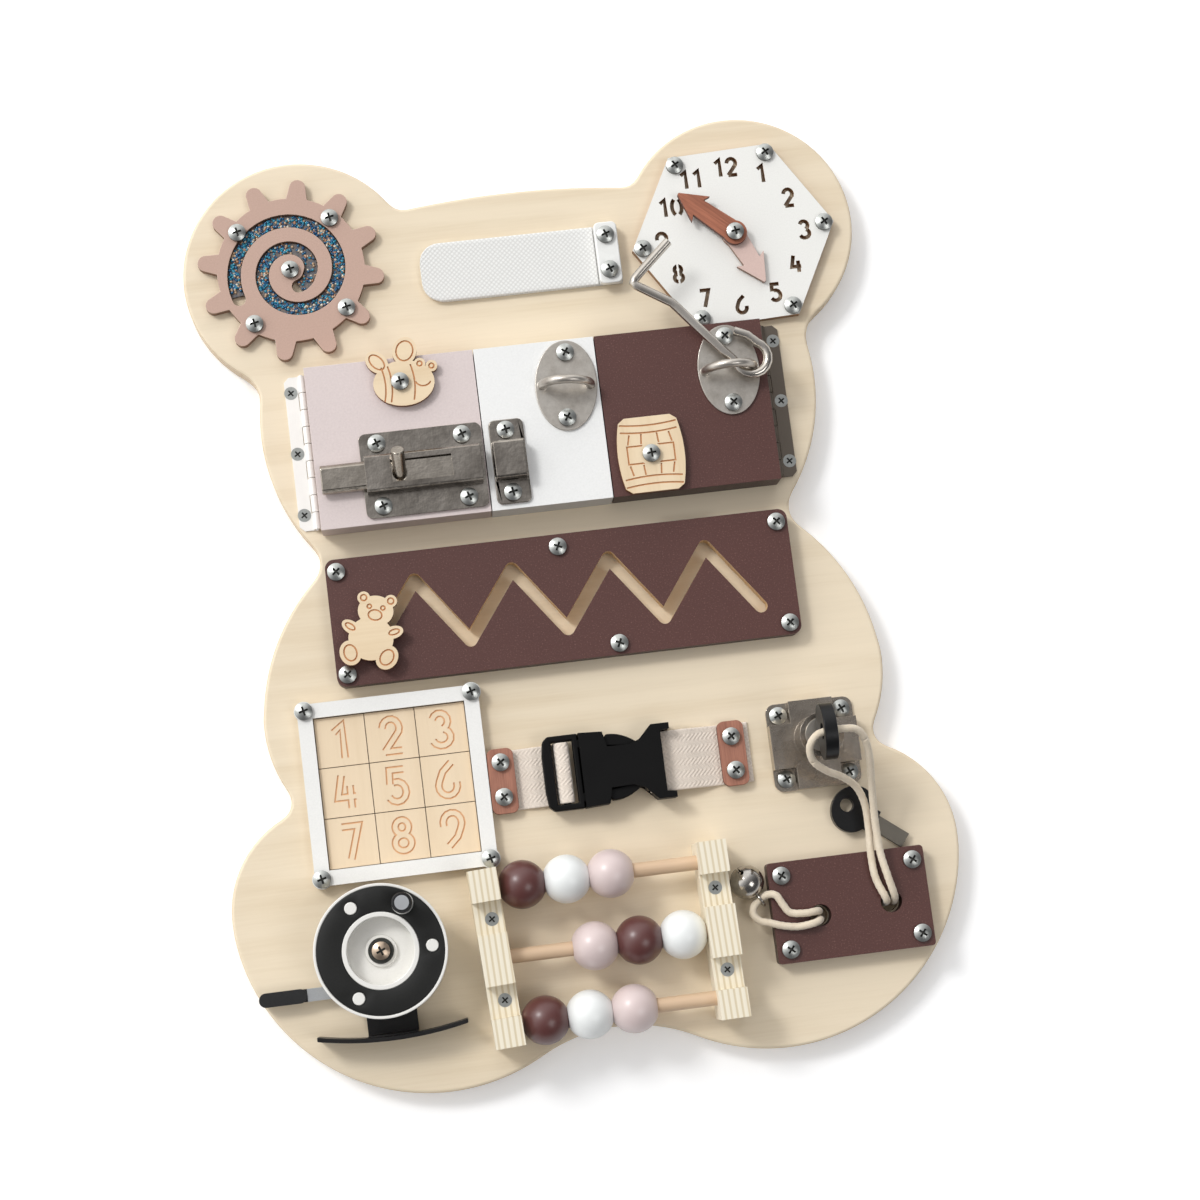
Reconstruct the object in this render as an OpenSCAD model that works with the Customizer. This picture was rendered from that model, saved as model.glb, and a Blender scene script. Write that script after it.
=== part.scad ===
// Wooden busy board in the shape of a bear: a plywood back board with screwed-on play modules.
// Frame: the board lies on its back, Z = 0 is its back face, +Y runs up the bear, +X to its right.

/* [Board] */
// Thickness of the back board
board_t = 12; // [9:0.5:18]
// Radius of the ears
ear_r = 51; // [48:0.5:53]
// Distance from the middle line to each ear centre
ear_x = 98; // [94:0.5:100]

/* [Gear maze] */
// Thickness of the toothed maze plate
maze_t = 4; // [3:0.5:6]
// Number of teeth round the maze plate
maze_teeth = 12; // [8:1:12]
// Width of the spiral window
maze_slot_w = 5.8; // [4.5:0.1:6.2]

/* [Clock] */
// Thickness of the clock dial
dial_t = 4; // [3:0.5:6]
// Distance from the dial centre to its corners
dial_r = 45.6; // [44:0.2:47]
// Height of the cut-through numerals
numeral_h = 9; // [7:0.5:9.5]
// Length of the long hand
long_hand_l = 31; // [26:0.5:34]
// Length of the short hand
short_hand_l = 26; // [22:0.5:30]
// Thickness of each hand
hand_t = 2.5; // [2:0.25:3.5]

/* [Hook and loop strip] */
// Width of the tape
tape_w = 26.4; // [20:0.2:28]
// Length of the loose flap
flap_l = 77.6; // [60:0.2:84]
// Thickness of one tape layer
tape_t = 1.5; // [1:0.1:2]

/* [Doors] */
// Width of each door
door_w = 73.2; // [70:0.1:73.6]
// Height of the doors and of the panel between them
door_h = 71.6; // [70:0.1:72.6]
// Thickness of each door
door_t = 14.8; // [12:0.1:16]
// Width of the fixed panel between the doors
panel_w = 52.4; // [52:0.1:52.8]
// Length of each piano hinge
hinge_l = 68.4; // [60:0.2:69]
// Number of knuckles in each hinge
knuckles = 9; // [5:2:11]

/* [Barrel bolt] */
// Width of the sliding bar
bar_w = 12.4; // [11:0.1:12.8]
// Thickness of the sliding bar
bar_t = 4.6; // [4:0.1:5]
// Travel of the bar
bolt_travel = 19; // [15:0.5:20]

/* [Hook and staples] */
// Diameter of the hook rod
hook_d = 4; // [3.4:0.1:4.4]
// Diameter of the staple wire
staple_d = 3.8; // [3:0.1:4.2]

/* [Zigzag maze] */
// Thickness of the zigzag plate
zig_t = 8; // [6:0.5:9]
// Width of the zigzag groove
groove_w = 5.7; // [5.2:0.1:6.4]
// Number of straight legs of the groove
zig_legs = 8; // [4:1:8]

/* [Number frame] */
// Side of the square window of the frame
window_w = 65; // [62:0.1:66]
// Thickness of the frame
frame_t = 5; // [4:0.5:7]
// Thickness of a number tile
tile_t = 3; // [2:0.25:3.5]

/* [Buckle strap] */
// Width of the webbing
web_w = 26; // [22:0.2:26.2]
// Thickness of the webbing
web_t = 1.4; // [1.2:0.1:1.6]
// Outer thickness of the buckle
buckle_t = 11; // [10.4:0.1:12]

/* [Lock] */
// Side of the square lock case
lock_w = 38; // [36:0.5:40]
// Height of the lock case
lock_t = 8; // [7:0.5:10]
// Diameter of the lock barrel
lock_barrel_d = 19; // [17:0.5:20]
// Height of the lock barrel above the case
lock_barrel_h = 17; // [12:0.5:20]

/* [Reel] */
// Outer diameter of the reel
reel_d = 55.6; // [52:0.2:56.4]
// Height of the reel's front above the board
reel_h = 28; // [26:0.5:32]

/* [Abacus] */
// Diameter of a bead
bead_d = 20.6; // [19:0.2:21]
// Length of a bead along its rod
bead_l = 18.8; // [17:0.1:18.8]
// Diameter of the rods
rod_d = 6.2; // [5:0.1:6.6]
// Height of the posts
post_h = 24; // [22:0.5:28]

/* [Screws] */
// Diameter of the pan heads
head_d = 7.6; // [6.6:0.1:8]
// Height of the pan heads
head_h = 2.6; // [2:0.1:2.8]

/* [Hidden] */
$fn = 64;
eps = 0.01;
T = board_t;              // height of the board's face
run_gap = 0.3;            // running clearance between moving pieces
pin_gap = 0.08;           // radial clearance of a pin in its bore
shank_r = 1.7;            // screw shank
pilot_r = shank_r + 0.05; // hole in the board for a shank
clear_r = shank_r + 0.3;  // hole in a plate for a shank
grip = 7;                 // depth of a screw in the board
engrave = 0.5;            // depth of an engraved line
line_w = 0.7;             // width of an engraved line

// ---------- plane geometry ----------

// Centre of the circle of radius rf that touches two circles from outside
function touch(c1, r1, c2, r2, rf, s) =
    let (d = norm(c2 - c1), u = (c2 - c1) / d, R1 = r1 + rf, R2 = r2 + rf)
    let (a = (R1 * R1 - R2 * R2 + d * d) / (2 * d), h = sqrt(R1 * R1 - a * a))
    c1 + a * u + s * h * [-u[1], u[0]];

// Points on an arc, from angle a0 to a1
function arc(c, rx, ry, a0, a1, n = 8) =
    [for (i = [0 : n]) let (a = a0 + (a1 - a0) * i / n) [c[0] + rx * cos(a), c[1] + ry * sin(a)]];

// Direction of a path at point i, and the outline of a band of width w along the path
function step(p, i) = let (v = p[i + 1] - p[i]) v / norm(v);
function heading(p, i) =
    let (v = step(p, min(i, len(p) - 2)) + step(p, max(i - 1, 0))) v / norm(v);
function miter(p, i) = i == 0 || i == len(p) - 1 ? 1 :
    let (a = p[i] - p[i - 1], b = p[i + 1] - p[i])
    let (k = (a * b) / (norm(a) * norm(b))) 1 / sqrt(max(0.35, (1 + k) / 2));
function side(p, w) =
    [for (i = [0 : len(p) - 1]) let (h = heading(p, i)) p[i] + miter(p, i) * w / 2 * [-h[1], h[0]]];
function turned(p) = [for (i = [len(p) - 1 : -1 : 0]) p[i]];
module band(p, w) { polygon(concat(side(p, w), turned(side(p, -w)))); }
// Round end of a groove of width w at c, on the far side of direction h; its corner points are left out
function round_end(c, w, h) =
    [for (i = [1 : 7]) let (b = h + 90 - 22.5 * i) c + w / 2 * [cos(b), sin(b)]];
function bearing(v) = atan2(v[1], v[0]);
// Sides of a groove with sharp turns: rounded on the outside of a turn, mitred on the inside
function turn_at(p, i) =
    let (a = step(p, i - 1), b = step(p, i)) atan2(a[0] * b[1] - a[1] * b[0], a * b);
function turn_points(p, i, w) = let (h = heading(p, i), k = turn_at(p, i), b = bearing(step(p, i - 1)))
    w * k > 0 ? [p[i] + w / 2 / cos(k / 2) * [-h[1], h[0]]] :
    arc(p[i], w / 2, w / 2, b + 90, b + 90 + k, 6);
function groove_side(p, w) = concat([side(p, w)[0]],
    [for (i = [1 : len(p) - 2]) each turn_points(p, i, w)], [side(p, w)[len(p) - 1]]);
module groove2d(one_side, other_side, p, w) {
    polygon(concat(one_side, round_end(p[len(p) - 1], w, bearing(step(p, len(p) - 2))),
        turned(other_side), round_end(p[0], w, bearing(step(p, 0)) + 180)));
}
module plate2d(w, h, r) {
    for (x = [-1, 1], y = [-1, 1]) translate([x * (w / 2 - r), y * (h / 2 - r)]) circle(r);
    square([w, h - 2 * r], center = true);
    square([w - 2 * r, h], center = true);
}
module oval2d(c, rx, ry, a = 0, n = 40) {
    translate(c) rotate(a) polygon([for (i = [0 : n - 1]) [rx * cos(360 * i / n), ry * sin(360 * i / n)]]);
}
module oval_line2d(c, rx, ry, a = 0, n = 32) {
    difference() {
        oval2d(c, rx + line_w / 2, ry + line_w / 2, a, n);
        oval2d(c, rx - line_w / 2, ry - line_w / 2, a, n);
    }
}
module at(p, z = 0) { translate([p[0], p[1], z]) children(); }
module holes(points, r, z0, h) { for (p = points) at(p, z0) cylinder(r = r, h = h, $fn = 32); }

// Strokes of the numerals on a unit-high cell, 0.6 wide: each numeral is a list of open strokes
gap_a = 24; // half angle of the bridges left in closed loops
DIGITS = [
    [arc([0.3, 0.5], 0.24, 0.42, 90 + gap_a, 270 - gap_a, 10), arc([0.3, 0.5], 0.24, 0.42, -90 + gap_a,
        90 - gap_a, 10)],
    [[[0.13, 0.74], [0.36, 0.92], [0.36, 0.06]]],
    [concat(arc([0.3, 0.68], 0.22, 0.24, 175, -25, 8), [[0.1, 0.09]]), [[0.1, 0.08], [0.54, 0.08]]],
    [arc([0.28, 0.71], 0.2, 0.21, 160, -65, 8), arc([0.28, 0.29], 0.24, 0.22, 65, -160, 8)],
    [[[0.2, 0.92], [0.07, 0.35], [0.53, 0.35]], [[0.4, 0.64], [0.4, 0.06]]],
    [[[0.5, 0.9], [0.14, 0.9], [0.12, 0.54]], arc([0.28, 0.33], 0.24, 0.26, 105, -150, 9)],
    [concat([[0.44, 0.92], [0.2, 0.7]], arc([0.3, 0.33], 0.24, 0.26, 150, 375, 9))],
    [[[0.07, 0.9], [0.5, 0.9], [0.24, 0.06]]],
    [],
    [concat([[0.16, 0.08], [0.4, 0.3]], arc([0.3, 0.67], 0.24, 0.26, -30, 195, 9))]];
function scaled(p, h, x0) = [for (q = p) [(q[0] - 0.3) * h + x0, (q[1] - 0.5) * h]];
module eight2d(h, w, bridge) {
    difference() {
        for (k = [[0.22, 0.17, 0.18], [-0.19, 0.21, 0.2]]) oval2d([0, k[0] * h], k[1] * h + w / 2,
            k[2] * h + w / 2);
        for (k = [[0.22, 0.17, 0.18], [-0.19, 0.21, 0.2]]) oval2d([0, k[0] * h], k[1] * h - w / 2,
            k[2] * h - w / 2);
        if (bridge > 0) square([bridge, 1.2 * h], center = true);
    }
}
module numeral2d(n, h, w, bridge = 0.8) {
    if (n > 9) {
        for (p = DIGITS[floor(n / 10)]) band(scaled(p, h, -0.34 * h), w);
        for (p = DIGITS[n % 10]) band(scaled(p, h, 0.3 * h), w);
    } else if (n == 8) eight2d(h, w, bridge);
    else for (p = DIGITS[n]) band(scaled(p, h, 0), w);
}

// ---------- screws ----------

// Cross-head pan screw: z is the face the head sits on, l the length below it
module pan_screw(p, z, l, a = 20) {
    at(p, z) difference() {
        union() {
            intersection() {
                translate([0, 0, head_h - head_d]) sphere(r = head_d, $fn = 48);
                cylinder(d = head_d, h = head_h, $fn = 48);
            }
            translate([0, 0, -l]) cylinder(r = shank_r, h = l, $fn = 24);
        }
        rotate(a) for (k = [0, 90]) rotate(k) translate([-2, -0.45, head_h - 1.5]) cube([4, 0.9, 2]);
    }
}
// Countersunk cross-head screw: z is the face its head is flush with
sunk_r = 3; // head radius
module sunk_screw(p, z, l, a = 35) {
    at(p, z) difference() {
        union() {
            translate([0, 0, -1.4]) cylinder(r1 = 1.3, r2 = sunk_r - 0.1, h = 1.4, $fn = 32);
            translate([0, 0, -l]) cylinder(r = 1.3, h = l, $fn = 24);
        }
        rotate(a) for (k = [0, 90]) rotate(k) translate([-1.6, -0.35, -1.1]) cube([3.2, 0.7, 2]);
    }
}
module sunk_hole(p, z) {
    at(p, z - 1.4) cylinder(r1 = 1.4, r2 = sunk_r, h = 1.4 + eps, $fn = 32);
    at(p, z - 3) cylinder(r = 1.4, h = 3, $fn = 24);
}

// ---------- places of the modules, on the board's face ----------
maze_c = [-101.4, 155.8];
clock_c = [94.5, 150.1];
tape_y = 147.9;
clamp_x = 37.8;           // middle of the tape clamp
clamp_w = 10.2;
clamp_t = 3.5;
panel_c = [-0.75, 72.6];  // middle of the door band
door_gap = 0.4;
leaf_t = 0.9;
door_z = T + leaf_t + run_gap;
door_top = door_z + door_t;
zig_c = [-0.5, -2.6];
zig_w = 201.4;
zig_h = 55.2;
frame_c = [-81.05, -74.2];
strap_y = -78;
lock_c = [99.2, -78.1];
barrel_c = [99.8, -76];   // lock barrel
cord_plate_c = [104.9, -148.4];
cord_plate_w = 68;
cord_plate_h = 43;
reel_c = [-95.2, -142.9];

maze_screws = [for (p = [[-0.4, -0.2], [-21.6, 18.8], [19.2, 21.2], [22.2, -19.8], [-18.3, -22.8]])
    maze_c + p];
dial_turn = 2.5;
dial_screw_r = dial_r - 4.6;
clock_screws = [for (k = [0 : 5]) clock_c + dial_screw_r * [cos(dial_turn + 60 * k), sin(dial_turn
    + 60 * k)]];
tape_screws = [for (s = [-1, 1]) [clamp_x - 0.3, tape_y + 7.9 * s]];
zig_screws = [for (x = [4.7 - zig_w / 2, zig_w / 2 - 5], y = [5 - zig_h / 2, zig_h / 2 - 5.6])
    zig_c + [x, y]];
zig_mid_screws = [zig_c + [-0.1, zig_h / 2 - 5.6], zig_c + [zig_w * 0.105, 4.8 - zig_h / 2]];
frame_pitch = window_w + 6.8;
frame_screws = [for (x = [-1, 1], y = [-1, 1]) frame_c + frame_pitch / 2 * [x, y]];
cord_screws = [for (x = [-28.3, 28.6], y = [-15.7, 15.7]) cord_plate_c + [x, y]];
strap_screws = [[-36.2, strap_y + 8], [-36.4, strap_y - 6.9], [63.6, strap_y + 7.2], [63.8, strap_y - 7.4]];
lock_screws = [for (x = [-1, 1], y = [-1, 1]) lock_c + 13.8 * [x, y]];
post_screws = [[-47.9, -135.6], [-46.5, -169.6], [47.2, -134.2], [47.8, -168.8]];

// ---------- back board ----------
head_side = [37.8, 84.2];
head_r = 84.8;
belly = [45, -47.2];
belly_r = 89.8;
hip = [76.6, -43];
hip_r = 58.2;
foot = [112, -123];
foot_r = 44.8;
sole = [72.5, -120.5];
sole_r = 84.5;
ear_c = [ear_x, 154];
crown_r = 400;            // gentle arch of the head between the ears
crown_c = [0, 181.8 - crown_r];
crotch_y = -187;
// Circle that bridges both feet from below
crotch_r = let (k = crotch_y - sole[1]) (sole[0] * sole[0] + k * k - sole_r * sole_r) / (2 * (sole_r + k));
crotch_c = [0, crotch_y - crotch_r];
// Small circles that round off the nooks between the big ones
top_nook = touch(crown_c, crown_r, ear_c, ear_r, 8, 1);
ear_nook = touch(ear_c, ear_r, head_side, head_r, 14, 1);
waist_nook = touch(head_side, head_r, belly, belly_r, 11, 1);
foot_nook = touch(hip, hip_r, foot, foot_r, 8, 1);
function angle_to(a, b) = atan2(b[1] - a[1], b[0] - a[0]);
function bend(c, r, a0, a1) = arc(c, r, r, a0, a1, ceil(abs(a1 - a0) * r / 240));
function lobe(c, r, from, to) = bend(c, r, angle_to(c, from), angle_to(c, to));
function full_turn(a) = a < 0 ? a + 360 : a;
function nook(c, r, from, to) = bend(c, r, full_turn(angle_to(c, from)), full_turn(angle_to(c, to)));
half_edge = concat(bend(crown_c, crown_r, 90, angle_to(crown_c, top_nook)),
    nook(top_nook, 8, crown_c, ear_c), lobe(ear_c, ear_r, top_nook, ear_nook),
    nook(ear_nook, 14, ear_c, head_side), lobe(head_side, head_r, ear_nook, waist_nook),
    nook(waist_nook, 11, head_side, belly), lobe(belly, belly_r, waist_nook, hip),
    bend(hip, hip_r, angle_to(belly, hip), angle_to(hip, foot_nook)), nook(foot_nook, 8, hip, foot),
    bend(foot, foot_r, angle_to(foot, foot_nook), angle_to(sole, foot)), lobe(sole, sole_r, foot, crotch_c),
    nook(crotch_c, crotch_r, sole, [0, crotch_y]));
// Points closer than a hair to the one before are left out
function clean(p) = [for (i = [0 : len(p) - 1]) if (i == 0 || norm(p[i] - p[i - 1]) > 0.3) p[i]];
function flipped(p) = [for (q = p) [-q[0], q[1]]];
right_edge = clean([for (q = half_edge) if (q[0] > 0.3) q]);
module board2d() {
    polygon(concat([[0, 181.8]], right_edge, [[0, crotch_y]], turned(flipped(right_edge))));
}
module board() {
    color("#e8d6b8") difference() {
        linear_extrude(T) board2d();
        holes(concat(maze_screws, clock_screws, [clock_c], tape_screws, zig_screws, zig_mid_screws,
            frame_screws, cord_screws, strap_screws, lock_screws, keeper_screws,
            panel_staple_screws), pilot_r, T - grip - 0.5, grip + 1);
        holes(concat(hinge_screws(-1), hinge_screws(1), post_screws), 1.35, T - grip - 0.5, grip + 1);
        // dimples that the countersunk heads of the hinge screws press
        for (p = concat(hinge_screws(-1), hinge_screws(1))) at(p, T - 0.6)
            cylinder(r1 = 1.25, r2 = 2.4, h = 1, $fn = 32);
        // wells behind the cord plate's holes, where the knots sit
        holes([cord_hole, bell_hole], 4, T - 4, 5);
    }
}

// ---------- gear maze ----------
tooth_w = 7.2;
root_r = 32.3;
tip_r = 40.8;
spiral_c = maze_c + [1, -0.9];
// Radius of the spiral's middle line against the angle run from its outer end
function spiral_r(t) = max(7, 26.8 - 0.0342 * t);
function spiral(t0, t1, n) =
    [for (i = [0 : n]) let (t = t0 + (t1 - t0) * i / n) spiral_c + spiral_r(t) * [cos(202 - t),
        sin(202 - t)]];
spiral_end = 640;
spiral_path = spiral(0, spiral_end, 80);
function tooth(a) = concat(
    [root_r * [cos(a - 8.2), sin(a - 8.2)]],
    [for (i = [0 : 8]) let (b = a - 90 + 22.5 * i)
        (tip_r - tooth_w / 2) * [cos(a), sin(a)] + tooth_w / 2 * [cos(b), sin(b)]],
    [for (b = [8.2, 12, 18]) root_r * [cos(a + b), sin(a + b)]]);
module gear_maze() {
    color("#c9a89b") difference() {
        at(maze_c, T) linear_extrude(maze_t)
            polygon([for (k = [0 : maze_teeth - 1]) each tooth(19.7 + 360 * k / maze_teeth)]);
        translate([0, 0, T - 1]) linear_extrude(maze_t + 2)
            groove2d(side(spiral_path, maze_slot_w), side(spiral_path, -maze_slot_w), spiral_path,
                maze_slot_w);
        holes(maze_screws, clear_r, T - 1, maze_t + 2);
    }
}
// Bed of loose coloured granules that runs round the spiral
module granules() {
    color("#3f7f96") translate([0, 0, T]) linear_extrude(maze_t / 2)
        band(spiral(4, spiral_end - 4, 80), maze_slot_w - 2 * run_gap);
}

// ---------- hook and loop strip ----------
tape_x1 = clamp_x - clamp_w / 2 - run_gap;   // the flap bends here
tape_x0 = tape_x1 - flap_l;
tape_r = 9;
module tape2d(x0, x1, w, r) {
    translate([(x0 + x1 + r) / 2, tape_y]) intersection() {
        plate2d(x1 - x0 + r, w, r);
        translate([-r / 2 - (x1 - x0), -w]) square([2 * (x1 - x0), 2 * w], center = false);
    }
}
module tape_base() {
    color("#dcdcd6") difference() {
        union() {
            translate([0, 0, T]) linear_extrude(tape_t) union() {
                translate([tape_x0 + tape_r + 1, tape_y - tape_w / 2])
                    square([tape_x1 - tape_x0 - tape_r - 1 + clamp_w + run_gap, tape_w]);
                for (s = [-1, 1]) translate([tape_x0 + tape_r + 1, tape_y + s * (tape_w / 2 - tape_r)])
                    circle(tape_r);
                translate([tape_x0 + 1, tape_y - tape_w / 2 + tape_r]) square([tape_r,
                    tape_w - 2 * tape_r]);
            }
            // the flap's sewn root, pressed under the clamp
            translate([tape_x1 + run_gap, tape_y - tape_w / 2, T]) cube([clamp_w, tape_w, 2 * tape_t
                + 0.2]);
        }
        holes(tape_screws, clear_r, T - 1, 6);
    }
}
module tape_flap() {
    color("#e6e6e0") translate([0, 0, T + tape_t + 0.2]) linear_extrude(tape_t) {
        translate([tape_x0 + tape_r, tape_y - tape_w / 2]) square([flap_l - tape_r, tape_w]);
        for (s = [-1, 1]) translate([tape_x0 + tape_r, tape_y + s * (tape_w / 2 - tape_r)]) circle(tape_r);
        translate([tape_x0, tape_y - tape_w / 2 + tape_r]) square([tape_r, tape_w - 2 * tape_r]);
    }
}
clamp_z = T + 2 * tape_t + 0.2;
module tape_clamp() {
    color("#f2f2ee") difference() {
        translate([clamp_x, tape_y, clamp_z]) linear_extrude(clamp_t) plate2d(clamp_w, tape_w + 1.6, 2.4);
        holes(tape_screws, clear_r, clamp_z - 1, clamp_t + 2);
    }
}

// ---------- clock ----------
numeral_ring = 31.5;
numeral_w = 1.7;
module clock_face() {
    color("#efefeb") difference() {
        at(clock_c, T) rotate(dial_turn) cylinder(r = dial_r, h = dial_t, $fn = 6);
        for (n = [1 : 12]) at(clock_c, T - 1) {
            r = numeral_ring + (n == 3 || n == 9 ? 0.5 : 0) - (n == 2 || n == 4 || n == 8 || n == 10
                ? 1 : 0);
            translate([r * sin(30 * n + 1), r * cos(30 * n + 1), 0])
                linear_extrude(dial_t + 2) numeral2d(n, numeral_h, numeral_w);
        }
        holes(clock_screws, clear_r, T - 1, dial_t + 2);
        at(clock_c, T - 1) cylinder(r = clear_r, h = dial_t + 2, $fn = 32);
    }
}
hub_r = 5.4;
hour_z = T + dial_t + run_gap;
minute_z = hour_z + hand_t + run_gap;
hand_top = minute_z + hand_t;
module hand(l, a, z) {
    head_l = 11.5;
    half = 4.3;
    at(clock_c, z) rotate(a) difference() {
        union() {
            cylinder(r = hub_r, h = hand_t, $fn = 48);
            linear_extrude(hand_t) polygon([[0, -half - 0.6], [l - head_l, -half + 0.2],
                [l - head_l - 1.4, -half - 2.8],
                [l - 0.6, -0.5], [l - 0.6, 0.5], [l - head_l - 1.4, half + 2.8], [l - head_l,
                    half - 0.2], [0, half + 0.6]]);
        }
        translate([0, 0, -1]) cylinder(r = shank_r + pin_gap, h = hand_t + 2, $fn = 32);
    }
}
module hour_hand() { color("#dcc0b8") hand(short_hand_l, -64.6, hour_z); }
module minute_hand() { color("#a5583c") hand(long_hand_l, 138.7, minute_z); }

// ---------- door band: centre panel, two doors on piano hinges ----------
band_y0 = panel_c[1] - door_h / 2;
pin_r = 0.7;
knuckle_r = 1.6;
hinge_z = T + leaf_t + 0.8;       // height of the hinge pins
hinge_off = 2;                    // from a door's edge to its pin
function door_edge(s) = panel_c[0] + s * (panel_w / 2 + door_gap + door_w);
function pin_x(s) = door_edge(s) + s * hinge_off;
leaf_w = 7.6;
hinge_y0 = panel_c[1] - hinge_l / 2 + 1.5;
function hinge_screws(s) = [for (k = [-1, 0, 1]) [pin_x(s) + s * 5, hinge_y0 + hinge_l / 2
    + k * (hinge_l / 2 - 7)]];
knuckle_l = hinge_l / knuckles;
module knuckle(s, k) {
    translate([pin_x(s), hinge_y0 + k * knuckle_l + run_gap / 2, hinge_z]) rotate([-90, 0, 0])
        difference() {
            cylinder(r = knuckle_r, h = knuckle_l - run_gap, $fn = 32);
            translate([0, 0, -1]) cylinder(r = pin_r + pin_gap, h = knuckle_l + 2, $fn = 24);
        }
}
// A leaf reaches its own knuckles and is cut clear of the other leaf's
module leaf(s, t, z, first, w) {
    x = pin_x(s);
    difference() {
        union() {
            translate([t > 0 ? x + knuckle_r * 0.45 : x - w, hinge_y0, z]) cube([w - knuckle_r * 0.45,
                hinge_l, leaf_t]);
            for (k = [first : 2 : knuckles - 1])
                translate([x - (t > 0 ? 0 : knuckle_r), hinge_y0 + k * knuckle_l + run_gap / 2, z])
                    cube([knuckle_r, knuckle_l - run_gap, leaf_t]);
            for (k = [first : 2 : knuckles - 1]) knuckle(s, k);
        }
        for (k = [1 - first : 2 : knuckles - 1])
            translate([x - knuckle_r - run_gap, hinge_y0 + k * knuckle_l - run_gap / 2, T - 1])
                cube([2 * (knuckle_r + run_gap), knuckle_l + run_gap, 8]);
        for (k = [first : 2 : knuckles - 1])
            translate([x, hinge_y0 + k * knuckle_l - 1, hinge_z]) rotate([-90, 0, 0])
                cylinder(r = pin_r + pin_gap, h = knuckle_l + 2, $fn = 24);
    }
}
module fixed_leaf(s) {
    difference() {
        leaf(s, s, T, 0, leaf_w);
        for (p = hinge_screws(s)) sunk_hole(p, T + leaf_t);
        for (y = [0, hinge_l]) translate([pin_x(s) + s * leaf_w, hinge_y0 + y, T - 1]) rotate(45)
            cube([3, 3, 6], center = true);
    }
}
module hinge_fixed_leaves() { color("#d8d8d4") { fixed_leaf(-1); fixed_leaf(1); } }
module hinge_pins() {
    color("#b0b0ac") for (s = [-1, 1]) translate([pin_x(s), hinge_y0 - 0.4, hinge_z]) rotate([-90, 0, 0])
        cylinder(r = pin_r, h = hinge_l + 0.8, $fn = 24);
}
moving_leaf_w = 11;
module pink_door_leaf() { color("#d0d0cc") leaf(-1, 1, T + run_gap, 1, moving_leaf_w); }
module brown_door_leaf() { color("#6a6560") leaf(1, -1, T + run_gap, 1, moving_leaf_w); }
module door_block(x, screws, l) {
    difference() {
        translate([x, band_y0, door_z]) cube([door_w, door_h, door_t]);
        holes(screws, pilot_r, door_top - l, l + 1);
    }
}

// Barrel bolt on the pink door
bolt_c = [-54.2, 57.6];
bolt_plate_w = 52.8;
bolt_plate_h = 37;
sheet_t = 1.4;
bar_z = door_top + sheet_t + 0.1;
cover_h = bar_t + run_gap;
bolt_screws = [for (x = [-18.8, 18], y = [-13.7, 13.7]) bolt_c + [x, y]];
bee_c = [-59.9, 96.8];
spin_gap = 0.4;             // washer thickness under a spinning figure
figure_t = 3;
figure_z = door_top + spin_gap;
module pink_door() {
    color("#d7c8c4") door_block(door_edge(-1), concat(bolt_screws, [bee_c]), 9);
}
slot_x0 = bolt_c[0] - 13.9;
slot_w = 9.4;
knob_d = 6.2;
module cover(c, w, hollow_w, hollow_h, wall) {
    // pressed hump over the bar, open at both ends
    translate([c[0] - w / 2, c[1] - hollow_w / 2 - wall, door_top]) difference() {
        cube([w, hollow_w + 2 * wall, sheet_t + hollow_h + wall]);
        translate([-1, wall, sheet_t]) cube([w + 2, hollow_w, hollow_h]);
        for (s = [0, 1]) translate([-1, s * (hollow_w + 2 * wall), sheet_t + hollow_h + wall])
            rotate([45, 0, 0])
            translate([0, -0.6, -0.6]) cube([w + 2, 1.2, 1.2]);
    }
}
module bolt_housing() {
    color("#8d867e") difference() {
        union() {
            translate([bolt_c[0], bolt_c[1], door_top]) linear_extrude(sheet_t) plate2d(bolt_plate_w,
                bolt_plate_h, 3);
            cover(bolt_c, bolt_plate_w - 3, bar_w + 2 * run_gap, cover_h, 1.4);
        }
        translate([slot_x0, bolt_c[1] - slot_w / 2, bar_z + bar_t]) cube([bolt_travel + knob_d + 1,
            slot_w, 6]);
        translate([slot_x0 + (bolt_travel + knob_d + 1) / 2, bolt_c[1], bar_z + bar_t])
            linear_extrude(6) plate2d(bolt_travel + knob_d + 1, slot_w, 2);
        holes(bolt_screws, clear_r, door_top - 1, 6);
    }
}
bar_x0 = -98.2;
bar_x1 = bolt_c[0] + bolt_plate_w / 2 - 2;
knob_x = slot_x0 + 0.5 + knob_d / 2;
module bolt_bar() {
    color("#a59d93") difference() {
        union() {
            translate([bar_x0, bolt_c[1], bar_z]) rotate([90, 0, 90]) linear_extrude(bar_x1 - bar_x0)
                polygon([[-bar_w / 2, 0], [bar_w / 2, 0], [bar_w / 2, bar_t - 1.6], [bar_w / 2 - 1.6,
                    bar_t],
                    [1.6 - bar_w / 2, bar_t], [-bar_w / 2, bar_t - 1.6]]);
            // finger knob, leaning up the door
            translate([knob_x, bolt_c[1] - 2.6, bar_z + bar_t / 2]) rotate([-40, 0, 0])
                cylinder(d = knob_d - 0.6, h = 15.5, $fn = 40);
        }
        translate([knob_x - 5, bolt_c[1] - 8, bar_z - 6]) cube([10, 16, 6]);
    }
}
module pink_door_screws() {
    color("#c9ccce") {
        for (p = bolt_screws) pan_screw(p, door_top + sheet_t, 7);
        pan_screw(bee_c, figure_z + figure_t + run_gap, 8.5, 10);
    }
}

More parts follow.
